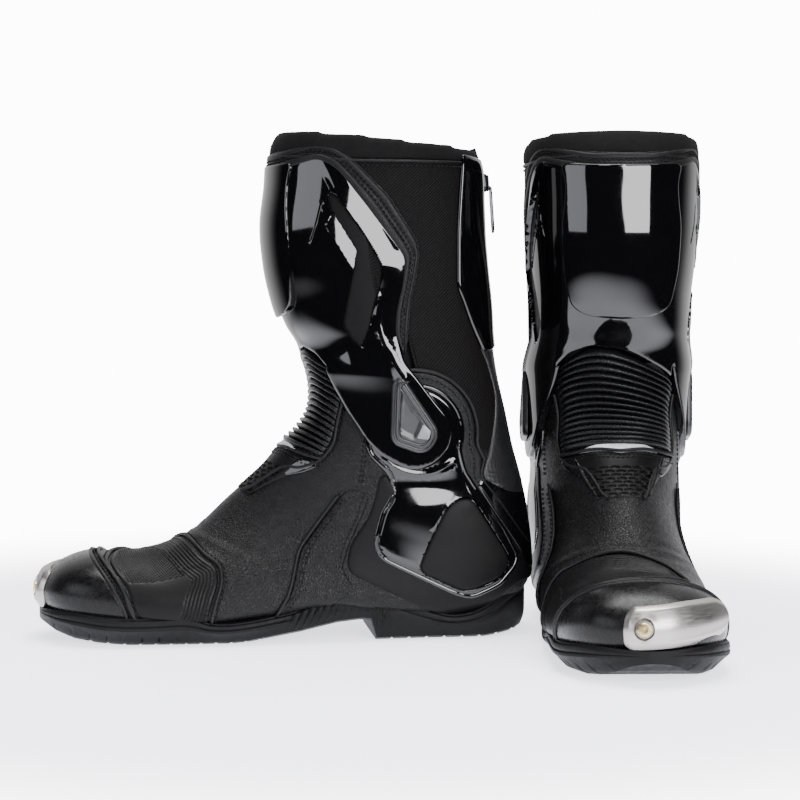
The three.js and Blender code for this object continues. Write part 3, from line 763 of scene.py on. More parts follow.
# ---------- outlines, as side-view points (x, z) in millimetres ----------
BAND_INNER = [
    (FRONT, 286), (158, 287), (148, 290), (135, 294), (129, 292), (123, 288), (109, 271), (84, 238),
    (82, 234), (84, 217), (87, 204), (88, 190), (84, 180), (82, 176),
]
BAND_OUTER = [
    (FRONT, 297), (158, 298), (151, 300.5), (134, 303.5), (127, 302), (120, 299), (110, 290),
    (93, 273), (75, 246), (73, 238), (75, 225), (78, 211), (80.5, 185), (82, 176),
]
BRACE = [
    (FRONT, 288), (158, 289), (148, 292), (135, 296), (128, 294), (122, 290), (108, 273), (83, 240),
    (80.5, 234), (82.5, 217), (85.5, 204), (86.5, 190), (84, 180), (82, 172), (73, 161),
    *arc(PIVOT, 22, 130, 290), (96, 115), (104, 124), (113, 140), (121, 157), (126, 169),
]
BRACE_FOOT = [(124, 34, 169), (131, 27, 178.5), (137, 16, 183), (139.5, 0, 180.5), (137.5, -14, 174.5),
              (132.5, -26, 168), (126, -34, 161)]  # its lower front edge, from medial to lateral
INSET = [
    (128, 274), (123, 272.5), (119, 267), (106, 248), (100, 238), (96, 230), (96, 223), (99.5, 210),
    (104, 191), (108, 180.5), (113, 186), (118.5, 194.5), (116, 210), (113, 226), (110.5, 239),
    (126.5, 265),
]
WINDOW = [(129, 254), (113, 228), (108.6, 240.8), (124.6, 266.8)]  # sloping facet beside the inset
RIDGE = [(98, 212), (100, 197), (97, 185), (88, 169), (84, 163)]
SIDE_GROOVE = [(132, 267), (134.5, 256), (138, 245)]
INSERT = [
    (FRONT, 291), (158, 291.5), (147, 293), (150, 282), (151, 266), (150, 245), (147.5, 220), (146, 207),
    (150, 199.5), (FRONT, 197),
]
SURROUND = [
    *arc(PIVOT, 38, 76, 190), (32, 113), (33.5, 101), (22, 86), (12, 71), (2, 57), (-1, 45), (12, 46),
    (24, 67), (42, 93), (49, 105), *arc(PIVOT, 27, 200, 76),
]
SURROUND_LINE = [*arc(PIVOT, 34.3, 70, 192), (38, 112), (38.5, 101), (28, 86), (17, 71), (6, 55), (3, 47)]
REAR_STRIP = [
    (REAR, 183), (34, 182), (27.5, 168), (22.5, 151), (23.5, 137), (27.5, 117), (33, 103), (31, 98),
    (17, 89), (7, 86), (REAR, 84),
]
COUNTER = [(REAR, 88.5), (7, 89.5), (16, 91.5), (33, 100), (37, 96), (26, 79), (14, 63), (5, 50),
           (3, 41), (REAR, 40)]
HEEL_FRAME = [
    (REAR, 35), (8, 33.5), (22, 23.5), (37, 16), (51, 14), (65, 18), (87, 28.5), (108, 39), (114, 42),
    (117, 48), (114, 61), (103, 77), (99.5, 88), (97, 101), (93, 104), (86, 92), (88, 78), (84, 62),
    (50, 45), (12, 47), (REAR, 46),
]
HEEL_SHELL = [
    *arc(PIVOT, BOSS_R, -28, 200, 20), (43, 105), (35, 93), (17, 67), (8.5, 51), (10, 44), (21, 32),
    (37, 25.5), (43, 25.5), (51, 28), (94, 49), (98, 53), (101, 60), (100, 66), (96, 81), (90, 90),
    (91, 102),
]
HEEL_INSERT = [
    (40, 88), (18, 53), (16, 47), (22, 38), (40, 31.5), (46, 31.5), (69, 42), (72, 45.5), (71, 49),
    (66, 61), (56, 81), (50, 86.5),
]
NECK = [(93, 112), (85, 105.5), (75, 102.5), (63, 103.5), (52, 110)]
ANKLE_PATCH = [
    (104.5, 92), (116, 94.5), (121, 89), (145, 57), (148, 44), (152, 30), (162, 15), (140, 14),
    (112, 33), (116, 40), (119.5, 46), (115.5, 59), (106.5, 79), (103, 88),
]
QUARTER_SEAM = [(104, 124), (105.5, 110), (107.5, 95)]
TOE_SEAM = [(FRONT + 99, 60), (273, 54), (266, 46), (258, 36), (251.5, 24), (248.5, 14), (247.5, 7)]
BELLOWS_EDGE = [(127, 173), (122, 165), (119, 157), (118, 151), (120, 144), (122, 132), (125, 122),
                (131, 113)]
FLAP_FRONT = [(46, 298), (47.5, 277), (49, 253), (49, 217), (45, 208), (39, 192), (31.5, 177)]
CAP = [
    (86, 164), (90, 159), (91, 127), (88.5, 121.5), (73, 116), (66.5, 118), (62, 124), (61.5, 131),
    (83, 163),
]
KITE = [(84, 154), (72, 136), (76.5, 125.5), (85.5, 130.5)]
BADGE_SHAPE = [(71, 135), (66, 130), (67.5, 124.5), (75.5, 125.5)]

# instep and shift pad outlines, as points (x, y, z)
INSTEP_TOP = [(131, 35, 111.5), (143, 19, 112.3), (155, 0, 113.6), (143, -19, 112.3), (131, -35, 111.5)]
INSTEP = [*INSTEP_TOP, (131, -37, 107), (141, -32, 104), (152, -24, 101), (165, -17, 94), (176, -13, 88),
          (179, 2, 89), (176, 15, 87), (165, 19, 94), (152, 26, 101), (141, 33, 104), (131, 37, 107)]
PAD_REAR = [(225, -20, 55), (216, 4, 62), (213, 26, 64), (206, 40, 58), (196, 45, 50), (195, 47, 38),
            (200, 48, 24), (203, 48, 12)]
SHIFT_PAD = [(243, 47, 18), (250, 43, 34), (257, 38, 43), (261, 27, 49.5), (257.5, 2, 54), (247.5, -21, 51),
             (244, -27, 49), (236, -26, 51), *PAD_REAR]


def smoothstep(x, low, high):
    f = np.clip((x - low) / (high - low), 0, 1)
    return f * f * (3 - 2 * f)


def stretched(line, distance):
    """A closed line grown outwards by a distance."""
    return shifted(skin, line, -distance if area_of(line) > 0 else distance, closed=True)


def pocket(line, depth, wall=0.45):
    """A relief that sinks the plate inside the closed line, and the mesh lines its walls need."""
    loop = np.vstack([line, line[:1]])

    def relief(points, places):
        signed = distance_to(points, skin(loop)) * np.where(inside(places, line), 1, -1)
        return -depth * smoothstep(signed, -wall, wall)
    return relief, (loop, [(0, 0), (wall, 0), (wall + 0.3, 0)])


# ---------- the foot ----------
def over_girth(points):
    """b as a function of a, the same on both sides, through side-view points from front to rear."""
    places = side_line(points)
    order = np.argsort(places[:, 0])
    return lambda a: np.interp(np.abs(a), places[order, 0], places[order, 1])


def level(x, z):
    """The b of the section through a side-view point."""
    return float(from_side([(x, z)])[0, 1])


def leather_folds(places):
    """Soft creases of the vamp where the toes bend."""
    a, b = places[..., 0] / GIRTH, places[..., 1]
    bend = np.exp(-((b - level(205, 60)) / 26) ** 2) * np.exp(-(a / 1.3) ** 2)
    return 0.35 * bend * np.sin(b / 3.4 + 1.2 * np.sin(a * 2.1)) + 0.25 * np.sin(b / 19 + a * 2.3)


def toe_ramp(places):
    return np.interp(places[..., 1] - toe_seam(places[..., 0]), [0, 0.4, 1.2, 3], [-0.4, 0.5, 0.95, 1.1])


toe_seam = over_girth(TOE_SEAM)
ANKLE_TOP = level(FRONT, 176)
upper = wrap(lambda a: np.full_like(a, ANKLE_TOP), lambda a: toe_seam(a) + 4, leather_folds, -2.4, 110, 132)
place("upper", upper, BLACK_LEATHER, "ankle", ["upper"])
toe_cap = wrap(toe_seam, lambda a: np.full_like(a, TOE_END), toe_ramp, -1.6, 46, 132)
place("toe_cap", toe_cap, TOE_LEATHER, "foot", ["toe_cap"])

SOLE_TOP = [
    (-2, 33), (11, 32.5), (22, 23), (37, 15.5), (51, 13.5), (65, 17.5), (87, 28), (101, 35.5),
    (108, 38), (115, 37), (127, 29), (146, 19), (175, 14), (191, 12.5), (202, 13.5), (209, 16.5),
    (218, 18), (234, 17), (250, 17), (267, 18), (282, 20), (300, 19), (306, 18),
]
SOLE_UNDER = [
    (-2, 14), (1, 9), (4, 5), (10, 2.5), (22, 0.8), (30, 0), (98, 0), (101, 12), (108, 12.5),
    (122, 11), (136, 8), (145, 6), (164, 3), (176, 1), (188, 0), (250, 0), (268, 1.2), (283, 3.5),
    (294, 7.5), (300, 11), (306, 14),
]
HEEL_BREAST = 98.0
HEEL_ROUND, TOE_ROUND = (42, 43), (246, 58)  # where the plan starts to round off, and over what length
WAIST_HALF, BALL_EXTRA = 41, 9.3  # half width behind the waist, and what the ball adds to it
RIB_PITCH, LUG_PITCH, HEEL_PITCH, BALL_PITCH = 4.8, 10.5, 11, 9
TREAD_DEPTH = 1.6
WALL_ROWS = (0, 0.06, 0.12, 0.2, 0.25, 0.28, 0.31, 0.35, 0.45, 0.58, 0.7, 0.8, 0.9, 1.0)


def sole_loop(x):
    """Half of the outsole's section at x, as points (y, z) from its top edge to the middle of its tread."""
    top = np.interp(x, *np.array(rounded(SOLE_TOP, 9, closed=False)).T)
    under = np.interp(x, *np.array(SOLE_UNDER, float).T)
    behind = max(0.0, HEEL_ROUND[0] - x) / HEEL_ROUND[1]
    ahead = max(0.0, x - TOE_ROUND[0]) / TOE_ROUND[1]
    round_off = math.sqrt(max(0.004, 1 - behind ** 2) * max(0.004, 1 - ahead ** 2))
    flare = 2 * (smoothstep(x, 60, 115) - smoothstep(x, 115, 160))
    wide = (WAIST_HALF + BALL_EXTRA * smoothstep(x, 110, 190)) * round_off + flare
    flat = wide * (0.94 - 0.05 * smoothstep(x, 150, 200) - 0.1 * smoothstep(x, 210, 292))
    tall = max(top - under, 1.0)
    edge = min(2.0, tall * 0.2)
    wall = []
    for f in WALL_ROWS:
        z = top + (under + edge - top) * f
        bulge = 0.7 * math.sin(math.pi * min(1.0, f * 1.6)) - 1.1 * smoothstep(f, 0.05, 0.0)
        y = wide + (flat - wide) * max(0.0, f - 0.45) / 0.55 + bulge * round_off
        rib = smoothstep(x, 84, 92) - smoothstep(x, 148, 156)
        slant = math.sin((x + 0.45 * (z - under)) * 2 * math.pi / RIB_PITCH)
        y += 1.7 * rib * max(0.0, slant) ** 1.5 * math.sin(math.pi * min(1.0, f * 1.1)) ** 0.5
        groove = math.exp(-((f - 0.28) / 0.035) ** 2) * (1 - 0.8 * rib)
        lug = smoothstep(abs(math.sin(x * math.pi / LUG_PITCH)), 0.22, 0.1)
        lug = lug * smoothstep(x, 206, 216) * smoothstep(f, 0.6, 0.8)
        wall.append((y - 0.8 * groove - 1.3 * lug, z))
    lip = [(wide - 7 * round_off, top + 1.6), (wide - 3 * round_off, top + 1.5), (wide - 1.2, top + 0.7)]
    heel_tread = x < HEEL_BREAST
    tread = []
    for f in np.linspace(0, 1, 14)[1:]:
        y = (flat - 2.5 * round_off) * (1 - f)
        if heel_tread:
            bar = abs(math.sin(x * math.pi / HEEL_PITCH))
        else:
            bar = abs(math.sin((x + 0.5 * y) * math.pi / BALL_PITCH)) if x > 170 else 1.0
        depth = TREAD_DEPTH * (1 - smoothstep(bar, 0.12, 0.3)) * smoothstep(f, 0.02, 0.12)
        depth = depth * smoothstep(x, 290, 270)
        tread.append((y, under + depth))
    return np.array(lip + wall + tread), round_off


def outsole():
    stations = np.unique(np.concatenate([
        np.linspace(-0.6, 4, 12), np.linspace(4, 86, 90), np.linspace(86, 158, 150),
        np.linspace(158, 296, 150), 304 - 8 * np.linspace(1, 0.012, 18) ** 2,
        [HEEL_BREAST, HEEL_BREAST + 0.4, 101]]))
    rows = []
    for x in stations:
        half, _ = sole_loop(x)
        loop = np.vstack([half, (half * [-1, 1])[::-1][1:]])
        rows.append(np.column_stack([np.full(len(loop), x), loop]))
    size = len(rows[0])
    points, faces = np.vstack(rows), []
    for i in range(len(rows) - 1):
        for j in range(size):
            k = (j + 1) % size
            faces.append([i * size + j, (i + 1) * size + j, (i + 1) * size + k, i * size + k])
    faces.append(list(range(size)))
    faces.append([(len(rows) - 1) * size + j for j in range(size)][::-1])
    return points, faces, points[:, [0, 2]]


place("outsole", outsole(), SOLE, "foot", ["outsole"], sharp=35)

SOFT_EDGE = [(0, -0.3), (0.35, 0.3), (0.9, 0.65), (2.0, 0.8)]
SHELL_EDGE = [(0, 0.2), (0.25, 1.2), (0.7, 1.65), (1.4, 1.8), (2.4, 1.75), (2.8, 1.2), (3.4, 1.2),
              (3.8, 1.9), (4.8, 2.15), (7, 2.25)]


def across_rear(path, radius=3.0):
    """A closed outline from the rear, round the medial side and back, and its mirror."""
    half = off_middle(side_line(path, radius), math.pi * GIRTH)
    other = half * [-1, 1] + [2 * math.pi * GIRTH, 0]
    return np.vstack([half, other[::-1][1:-1]])


def heel_relief(points, places):
    """The shell narrows between the ankle boss and the heel, and sinks where the heel insert sits."""
    x, z = points[:, 0], points[:, 2]
    waist = np.exp(-(((z - 97) / 9) ** 2)) * np.exp(-(((x - 72) / 26) ** 2))
    return sink(points, places) - 1.3 * waist


frame_edge = [(0, -0.2), (0.4, 0.6), (1.0, 1.05), (2.2, 1.2)]
place("heel_frame", panel(across_rear(HEEL_FRAME, 5), frame_edge), MATTE, "foot",
      ["heel_frame"])
surround = panel(side_outline(SURROUND, 4), [(0, -0.3), (0.4, 0.5), (1.0, 0.8), (2.0, 0.85)])
place("ankle_surround", both(surround), SOFT_LEATHER, "foot")
insert_line = side_outline(HEEL_INSERT, 4)
sink, sink_lines = pocket(stretched(insert_line, 0.5), 1.6, 0.3)
shell_grooves = [sink_lines, (side_line(NECK), [(0, 0.9), (1.1, 0.45), (2.6, 0)])]
shell = panel(side_outline(HEEL_SHELL, 4), SHELL_EDGE, relief=heel_relief, grooves=shell_grooves, thick=1.5,
              spacing=2.0)
place_pair("heel_shell", shell, GLOSS, "foot")
insert_edge = [(0, 0.8), (0.3, 1.9), (0.8, 2.3), (2.0, 2.5), (8, 2.8)]
heel_insert = panel(insert_line, insert_edge, thick=0.0)
place_pair("heel_insert", heel_insert, MATTE, "foot")
place("heel_counter", panel(across_rear(COUNTER, 5), [(0, 0), (0.3, 0.9), (0.9, 1.35), (2.5, 1.55)]), GLOSS,
      "foot", ["heel_counter"])
rear_edge = [(0, -0.2), (0.4, 0.9), (1.2, 1.3), (3.0, 1.4)]
heel_strip = panel(across_rear(REAR_STRIP, 5), rear_edge, spacing=2.2)
place("rear_strip", heel_strip, WEAVE, "ankle")
patch = panel(side_outline(ANKLE_PATCH, 4), SOFT_EDGE)
place("ankle_patch", both(patch), BLACK_LEATHER, "foot")


# ---------- bellows, instep and shift pad ----------
def bellows_edges():
    """b of the top and bottom edges and a of the side edge, over u from -1 (lateral) to 1 (medial)."""
    top = nearest(BRACE_FOOT)
    u_top = top[:, 0] / top[0, 0]
    order = np.argsort(u_top)
    low = from_side([(131, 113.2), (143, 117), (148, 119.5), (FRONT, 124.5)])
    u_low = low[:, 0] / low[0, 0]
    side = side_line(BELLOWS_EDGE)
    return (u_top[order], top[order, 1] + 3.2), (u_low[::-1], low[::-1, 1]), side


BELLOWS_RIBS = 15


def bellows():
    (u_top, b_top), (u_low, b_low), side = bellows_edges()
    ribs, per_rib, columns = BELLOWS_RIBS, 12, 64
    s = np.linspace(0, 1, ribs * per_rib + 1)[:, None]
    u = np.linspace(-1, 1, columns + 1)[None, :]
    b_top, b_low = (np.polyval(np.polyfit(u[0], b, 4), u) for b in (
        np.interp(u[0], u_top, b_top), np.interp(np.abs(u[0]), u_low, b_low)))
    b = b_top * (1 - s) + b_low * s
    edge_b = np.sort(side[:, 1])
    edge_a = side[np.argsort(side[:, 1]), 0]
    a = u * np.interp(b, edge_b, edge_a)
    places = np.stack([a, b], -1)
    lobe = np.abs(np.sin(math.pi * ribs * s)) ** 0.55
    tuck = np.clip((1 - np.abs(u)) * 5.5, 0, 1) ** 0.6
    height = 0.3 + (3.7 * lobe + 0.1 * np.sin(9.0 * u + 4 * s)) * tuck
    return sheet(places, height, -3.0)


place("bellows", bellows(), RIB_LEATHER, "ankle", ["bellows"], sharp=70)


POCKET_ROWS, POCKET_PITCH = 8, 6.9


def honeycomb(points, places):
    """Rows of shallow oval pockets, offset by half a pitch from row to row."""
    y, b = points[:, 1], places[:, 1]
    top, bottom = level(FRONT, 112.5), level(178, 91)
    f = (b - top) / (bottom - top)
    row = np.floor(f * POCKET_ROWS)
    v = f * POCKET_ROWS - row
    shift = np.where(row % 2 > 0, 0.5, 0.0)
    u = (y - 1) / POCKET_PITCH + shift
    u = (u - np.floor(u) - 0.5) * 2
    v = (v - 0.5) * 2
    hole = 1 - smoothstep(np.hypot(u / 0.93, v / 0.86), 0.62, 1.0)
    wide = 21.5 - 7.5 * np.clip(f, 0, 1)
    field = (f > 0) & (f < 1) & (np.abs(y - 1) < wide)
    rim = smoothstep(np.abs(np.abs(y - 1) - wide - 1.6), 1.4, 0.5) * (f > -0.05) * (f < 1.1)
    return np.where(field, -2.2 * hole, 0) + 0.9 * rim


instep = panel(nearest(rounded(INSTEP, 4, step=1.3)), [(0, -0.4), (0.35, 0.5), (1.0, 1.0), (2.0, 1.2)],
               relief=honeycomb, spacing=0.55)
place("instep_panel", instep, PAD_RUBBER, "foot", ["instep_panel"], sharp=60)
wing = [(134, 37.5, 108), (138, 33.5, 112), (144, 26.5, 112.5), (156, 21.5, 103.5), (153, 25.5, 100.8),
        (143, 32.5, 103.8)]
wing = panel(nearest(rounded(wing, 1.2, step=1.0)), [(0, 0.2), (0.3, 1.2), (0.8, 1.5)], spacing=2.0)
place("instep_wings", both(wing), GLOSS, "foot")
lens = [(143, 24, 113.8), (147, 12, 119.5), (149, 0, 121.5), (147, -12, 119.5), (143, -24, 113.8),
        (149, -12, 114.2), (154, 0, 114.8), (149, 12, 114.2)]
place("instep_reflector", panel(nearest(rounded(lens, 2, step=1.0)), [(0, 0.3), (0.4, 1.6), (1.2, 2.2)],
                                spacing=1.2), SILVER, "foot")

pad_rear = nearest(rounded(PAD_REAR, 8, closed=False))
pad_outline = nearest(rounded(SHIFT_PAD, 6))
pad_edge = skin(pad_outline)


def pad_relief(points, places):
    """Ribs along the rear edge and a field of fine dimples on a lowered top."""
    x, z = points[:, 0], points[:, 2]
    away = distance_to(points, skin(pad_rear))
    ribs = 0.9 * (1 - np.abs(np.sin(math.pi * (away - 3) / 2.17)) ** 0.6)
    band = (away > 3) & (away < 16)
    floor_z = np.interp(x, [200, 206, 217, 234, 250, 257, 268, 272], [46, 45, 41, 38, 38, 41, 53, 56])
    top = smoothstep(z - floor_z, 0, 0.8) * smoothstep(away, 16.5, 17.3)
    top = top * smoothstep(distance_to(points, pad_edge), 2.2, 3.2)
    u, v = places[:, 0] / 2.3, places[:, 1] / 2.0
    u = u + 0.5 * (np.floor(v) % 2)
    dimple = 1 - smoothstep(np.hypot(u - np.floor(u) - 0.5, v - np.floor(v) - 0.5), 0.2, 0.42)
    return np.where(band, -ribs, 0) - 0.55 * dimple * top - 0.3 * top


shift_pad = panel(pad_outline, [(0, -0.4), (0.4, 0.4), (1.0, 0.85), (2.2, 1.0)],
                  relief=pad_relief, spacing=0.75)
place("shift_pad", shift_pad, PAD_RUBBER, "foot", ["shift_pad"], sharp=70)


# ---------- the toe slider ----------
SLIDER_PLAN = [(256, -50.5), (268, -47), (279, -40.5), (289, -31), (297, -21), (302.5, -10),
               (304.3, 0), (303, 10), (298.5, 18)]
plan_line = rounded(SLIDER_PLAN, 30, closed=False, step=0.5)
plan_along = np.concatenate([[0], np.cumsum(np.linalg.norm(np.diff(plan_line, axis=0), axis=1))])
SLIDER_END = plan_along[-1]


def slider_chart(places):
    """A bent plate round the front of the toe: a runs along it towards the medial side, b down."""
    places = np.asarray(places, float)
    s, drop = places[..., 0], places[..., 1]
    x, y = (np.interp(s, plan_along, plan_line[:, k]) for k in (0, 1))
    ahead = [np.interp(s + 2, plan_along, plan_line[:, k]) for k in (0, 1)]
    behind = [np.interp(s - 2, plan_along, plan_line[:, k]) for k in (0, 1)]
    tx, ty = ahead[0] - behind[0], ahead[1] - behind[1]
    size = np.maximum(np.hypot(tx, ty), 1e-6)
    lean = np.where(drop < 0, 0.037 * drop ** 2 - 0.16 * drop, 0.012 * drop ** 2)
    middle = 31.2 + 0.05 * (SLIDER_END - s)
    return np.stack([x - ty / size * lean, y + tx / size * lean, middle - drop], -1)


slider_outline = np.array([(1.5, -7), (5, -11.5), (40, -11.8), (66, -10.5), (74, -7), (76.5, 0), (74, 7),
                           (66, 10), (40, 11.2), (6, 11), (2, 8.5)], float) * [-1, 1] + [SLIDER_END, 0]
SCREW_SPOT = (SLIDER_END - 13.5, 0.0)
slider_edge = [(0, 0.4), (0.3, 1.7), (0.9, 2.2), (3.6, 3.3), (4.1, 3.55), (5.0, 3.6), (6.0, 3.35)]


def screw_seat(points, places):
    r = np.hypot(places[:, 0] - SCREW_SPOT[0], places[:, 1] - SCREW_SPOT[1])
    return 0.4 * smoothstep(r, 7.0, 6.4) - 2.6 * smoothstep(r, 4.95, 4.75)


seat_ring = np.array(arc(SCREW_SPOT, 4.85, 0, 360, 49))
slider = panel(rounded(slider_outline, 5), slider_edge, chart=slider_chart, relief=screw_seat, spacing=1.2,
               grooves=[(seat_ring, [(0, 0), (0.2, 0)])], thick=0.3)
place("toe_slider", slider, STEEL, "foot", ["toe_slider"], sharp=28)


def turned(profile, centre, axis, count=36):
    """A solid turned round an axis. profile is (radius, height along the axis), closed on the axis."""
    axis = np.array(axis, float) / np.linalg.norm(axis)
    side = np.cross(axis, [0, 0, 1.0])
    side /= np.linalg.norm(side)
    up = np.cross(axis, side)
    points = [np.array(centre) + axis * profile[0][1]]
    for r, h in profile[1:-1]:
        for j in range(count):
            t = 2 * math.pi * j / count
            points.append(np.array(centre) + axis * h + (side * math.cos(t) + up * math.sin(t)) * r)
    points.append(np.array(centre) + axis * profile[-1][1])
    faces, rings = [], len(profile) - 2
    for j in range(count):
        k = (j + 1) % count
        faces.append([0, 1 + k, 1 + j])
        for i in range(rings - 1):
            a, b = 1 + i * count, 1 + (i + 1) * count
            faces.append([a + j, a + k, b + k, b + j])
        a = 1 + (rings - 1) * count
        faces.append([a + j, a + k, len(points) - 1])
    points = np.array(points)
    return points, faces, points[:, :2]


screw_base = slider_chart(np.array([SCREW_SPOT]))[0]
screw_axis = normals(slider_chart, np.array([SCREW_SPOT]))[0]
screw_profile = [(0, 0.4), (3.9, 0.4), (3.9, 3.2), (3.6, 3.6), (3.2, 3.7), (1.5, 3.7), (1.35, 3.5),
                 (1.3, 2.2), (0, 2.1)]
place("slider_screw", turned(screw_profile, screw_base, screw_axis, 48), BRASS, "foot",
      ["slider_screw"], sharp=30)


# ---------- the cuff ----------
def rise(points):
    """How far the brace's arms stand off the ankle."""
    return ARM_RISE * (1 - smoothstep(points[:, 2], 164, 188))


seam_line = over_girth([(FRONT, 299), (113, 294), (48, 293.5), (REAR, 290.5)])
fabric_low = over_girth([(FRONT, 293), (132, 291), (112, 274), (90, 240), (92, 205), (88, 172), (78, 140),
                         (40, 118), (REAR, 110)])


def fabric_waves(places):
    return 0.3 + 0.2 * np.sin(places[..., 1] / 13 + places[..., 0] / 17)


fabric = wrap(seam_line, fabric_low, fabric_waves, -1.6, 100, 140)
place("calf_panel", fabric, FABRIC, "ankle", ["calf_panel"])

half = from_side(rounded(BRACE, 3, closed=False, step=1.2))
half = half[max(0, np.flatnonzero(half[:, 0] > 1e-3)[0] - 1):]
foot_edge = nearest(rounded(BRACE_FOOT, 4, closed=False, step=1.2))
brace_outline = np.vstack([half, foot_edge[1:-1], mirrored(half)[::-1][:-1]])
inset_line = side_outline(INSET, 2.5)
insert_ring = across_front(INSERT, 5)
window = side_outline(WINDOW, 0.8)
brace_pockets = [pocket(stretched(insert_ring, -1.6), 1.2)]
for side_line_of in (inset_line, mirrored(inset_line)[::-1]):
    brace_pockets.append(pocket(side_line_of, 2.4))


def facet(line, start, end, drop, lift=0.7):
    """Sinks the plate inside a closed line, from nothing at one side-view point to drop at another."""
    start, end = np.array(start, float), np.array(end, float)
    span = end - start

    def relief(points, places):
        f = np.clip((points[:, [0, 2]] - start) @ span / (span @ span), 0, 1)
        return (lift - (lift + drop) * f) * inside(places, line)
    return relief


windows = (window, mirrored(window)[::-1])
facets = [facet(ring, (121, 241), (113.5, 245.6), 2.3) for ring in windows]


CREST_RISE = 1.7  # of the broad raised side of the brace


def brace_relief(points, places):
    total = sum(cut(points, places) for cut, _ in brace_pockets)
    outside = np.clip(1 + total / 1.2, 0, 1)
    for cut in facets:
        low = cut(points, places)
        total = np.where((total < -0.8) | (low == 0), total, np.maximum(total, -0.3) + low)
    x, z = points[:, 0], points[:, 2]
    behind = np.interp(z, [176, 200, 223, 230, 238, 267, 290], [101, 100, 96, 97, 101, 119.5, 129]) - x
    fall = np.interp(z, [214, 232, 239, 292], [1.2, 1.9, 2.6, 2.6])
    plateau = CREST_RISE - fall * np.clip(behind / 13, 0, 1)
    slope = CREST_RISE * np.clip(1 + (behind + 0.6) / 2.2, 0, 1)
    raised = np.where(behind > -0.6, plateau, slope)
    strength = smoothstep(z, 205, 232) * smoothstep(z, 292, 276)
    return total + raised * strength * outside


def ridge_pair(points, profile):
    line = side_line(points, 8)
    return [(line, profile), (mirrored(line), profile)]


brace_grooves = [lines for _, lines in brace_pockets]
brace_grooves += [(np.vstack([ring, ring[:1]]), [(0, 0), (0.35, 0)]) for ring in windows]
brace_grooves += ridge_pair(RIDGE, [(0, 1.5), (0.6, 1.2), (2.4, 0.3), (3.6, 0)])
CREST = [(100.6, 212), (97.2, 219), (96.2, 225), (97, 230), (101, 238), (119.5, 267), (127, 284)]
brace_grooves += ridge_pair([(x - 2.2, z) for x, z in CREST], [(0, 0), (0.01, 0)])
brace_grooves += ridge_pair(SIDE_GROOVE, [(0, -0.6), (0.5, -0.5), (0.9, 0)])
brace = panel(brace_outline, [(0, -0.4), (0.3, 0.9), (0.9, 1.35), (1.8, 1.5)], rise=rise, relief=brace_relief,
              grooves=brace_grooves, thick=3.2, spacing=1.7)
place("shin_brace", brace, GLOSS, "cuff", ["shin_brace"], sharp=38)
insert = panel(insert_ring, [(0, 1.3), (0.2, 2.1), (0.6, 2.45), (1.6, 2.5)], spacing=2.2, thick=-0.6,
               relief=lambda points, places: 2.6 * smoothstep(points[:, 2], 240, 202))
place("shin_insert", insert, GLOSS, "cuff", ["shin_insert"], sharp=38)
inset = panel(stretched(inset_line, 0.3), [(0, -0.3), (1.2, -0.1)], rise=rise, spacing=2.2, thick=1.3)
place_pair("brace_inset", inset, MATTE, "cuff")


def from_middle(path, radius=4):
    """The medial half of a line that starts on the boot's front."""
    line = side_line(path, radius)
    line = line[max(0, np.flatnonzero(line[:, 0] > 1e-3)[0] - 1):]
    line[0, 0] = 0
    return line


def crossing(line):
    """The line and its mirror as one line across the front."""
    return np.vstack([mirrored(line)[::-1], line[1:]])


band_lines = [crossing(from_middle(path)) for path in (BAND_OUTER, BAND_INNER)]
BAND_PROFILE = [(0, 0.2), (0.03, 1.1), (0.08, 1.6), (0.2, 1.75), (0.27, 1.55), (0.3, 0.95), (0.45, 0.85),
                (0.6, 0.95), (0.63, 1.7), (0.72, 1.9), (0.9, 1.95), (0.96, 1.6), (1, 0.3)]
place("trim_band", ribbon(*band_lines, BAND_PROFILE), EDGE_LEATHER, "cuff", ["trim_band"],
      sharp=60)


def between(share):
    """A line a share of the way across the band, from its outer edge."""
    lines = [resample(line, 1.0, False) for line in band_lines]
    count = min(len(line) for line in lines)
    picks = [line[np.linspace(0, len(line) - 1, count).astype(int)] for line in lines]
    return (picks[0] * (1 - share) + picks[1] * share)[6:-6]


place("band_stitching", merged([stitches(between(k), 1.25) for k in (0.38, 0.53)]), THREAD, "cuff")
place("band_piping", piping(band_lines[0], 0.8, 0.5), BLACK_LEATHER, "cuff")


def cap_chart(places):
    """The flat face of the ankle cap on the medial side."""
    places = np.asarray(places, float)
    return np.stack([-places[..., 0], np.full(places.shape[:-1], 52.0), -places[..., 1]], -1)


def on_cap(points, radius=4.0, closed=True):
    return -rounded(points, radius, closed, step=1.0)


cap_ring = on_cap(CAP, 6)
sense = 1 if area_of(cap_ring) > 0 else -1
cap_grooves = []
for distance in (2.6, 5.2):
    loop = shifted(cap_chart, cap_ring, sense * distance, closed=True)
    cap_grooves.append((np.vstack([loop, loop[:1]]), [(0, -1.0), (0.35, -0.9), (0.75, 0)]))
kite_ring = on_cap(KITE, 2)
badge_ring = on_cap(BADGE_SHAPE, 1)


def cap_relief(points, places):
    loop = np.vstack([kite_ring, kite_ring[:1]])
    signed = distance_to(points, cap_chart(loop)) * np.where(inside(places, kite_ring), 1, -1)
    return -0.7 * smoothstep(signed, -0.3, 0.5)


cap = panel(cap_ring, [(0, 0.0), (0.3, 1.7), (0.8, 2.3), (1.5, 2.6)], chart=cap_chart, relief=cap_relief,
            grooves=cap_grooves, spacing=1.2, thick=0.6)
place_pair("ankle_cap", cap, SATIN, "cuff", sharp=35)
badge = panel(badge_ring, [(0, 2.0), (0.4, 3.0), (1.5, 3.1)], chart=cap_chart, spacing=1.5, thick=-1.5)
place("cap_badge", both(badge), BADGE, "cuff")


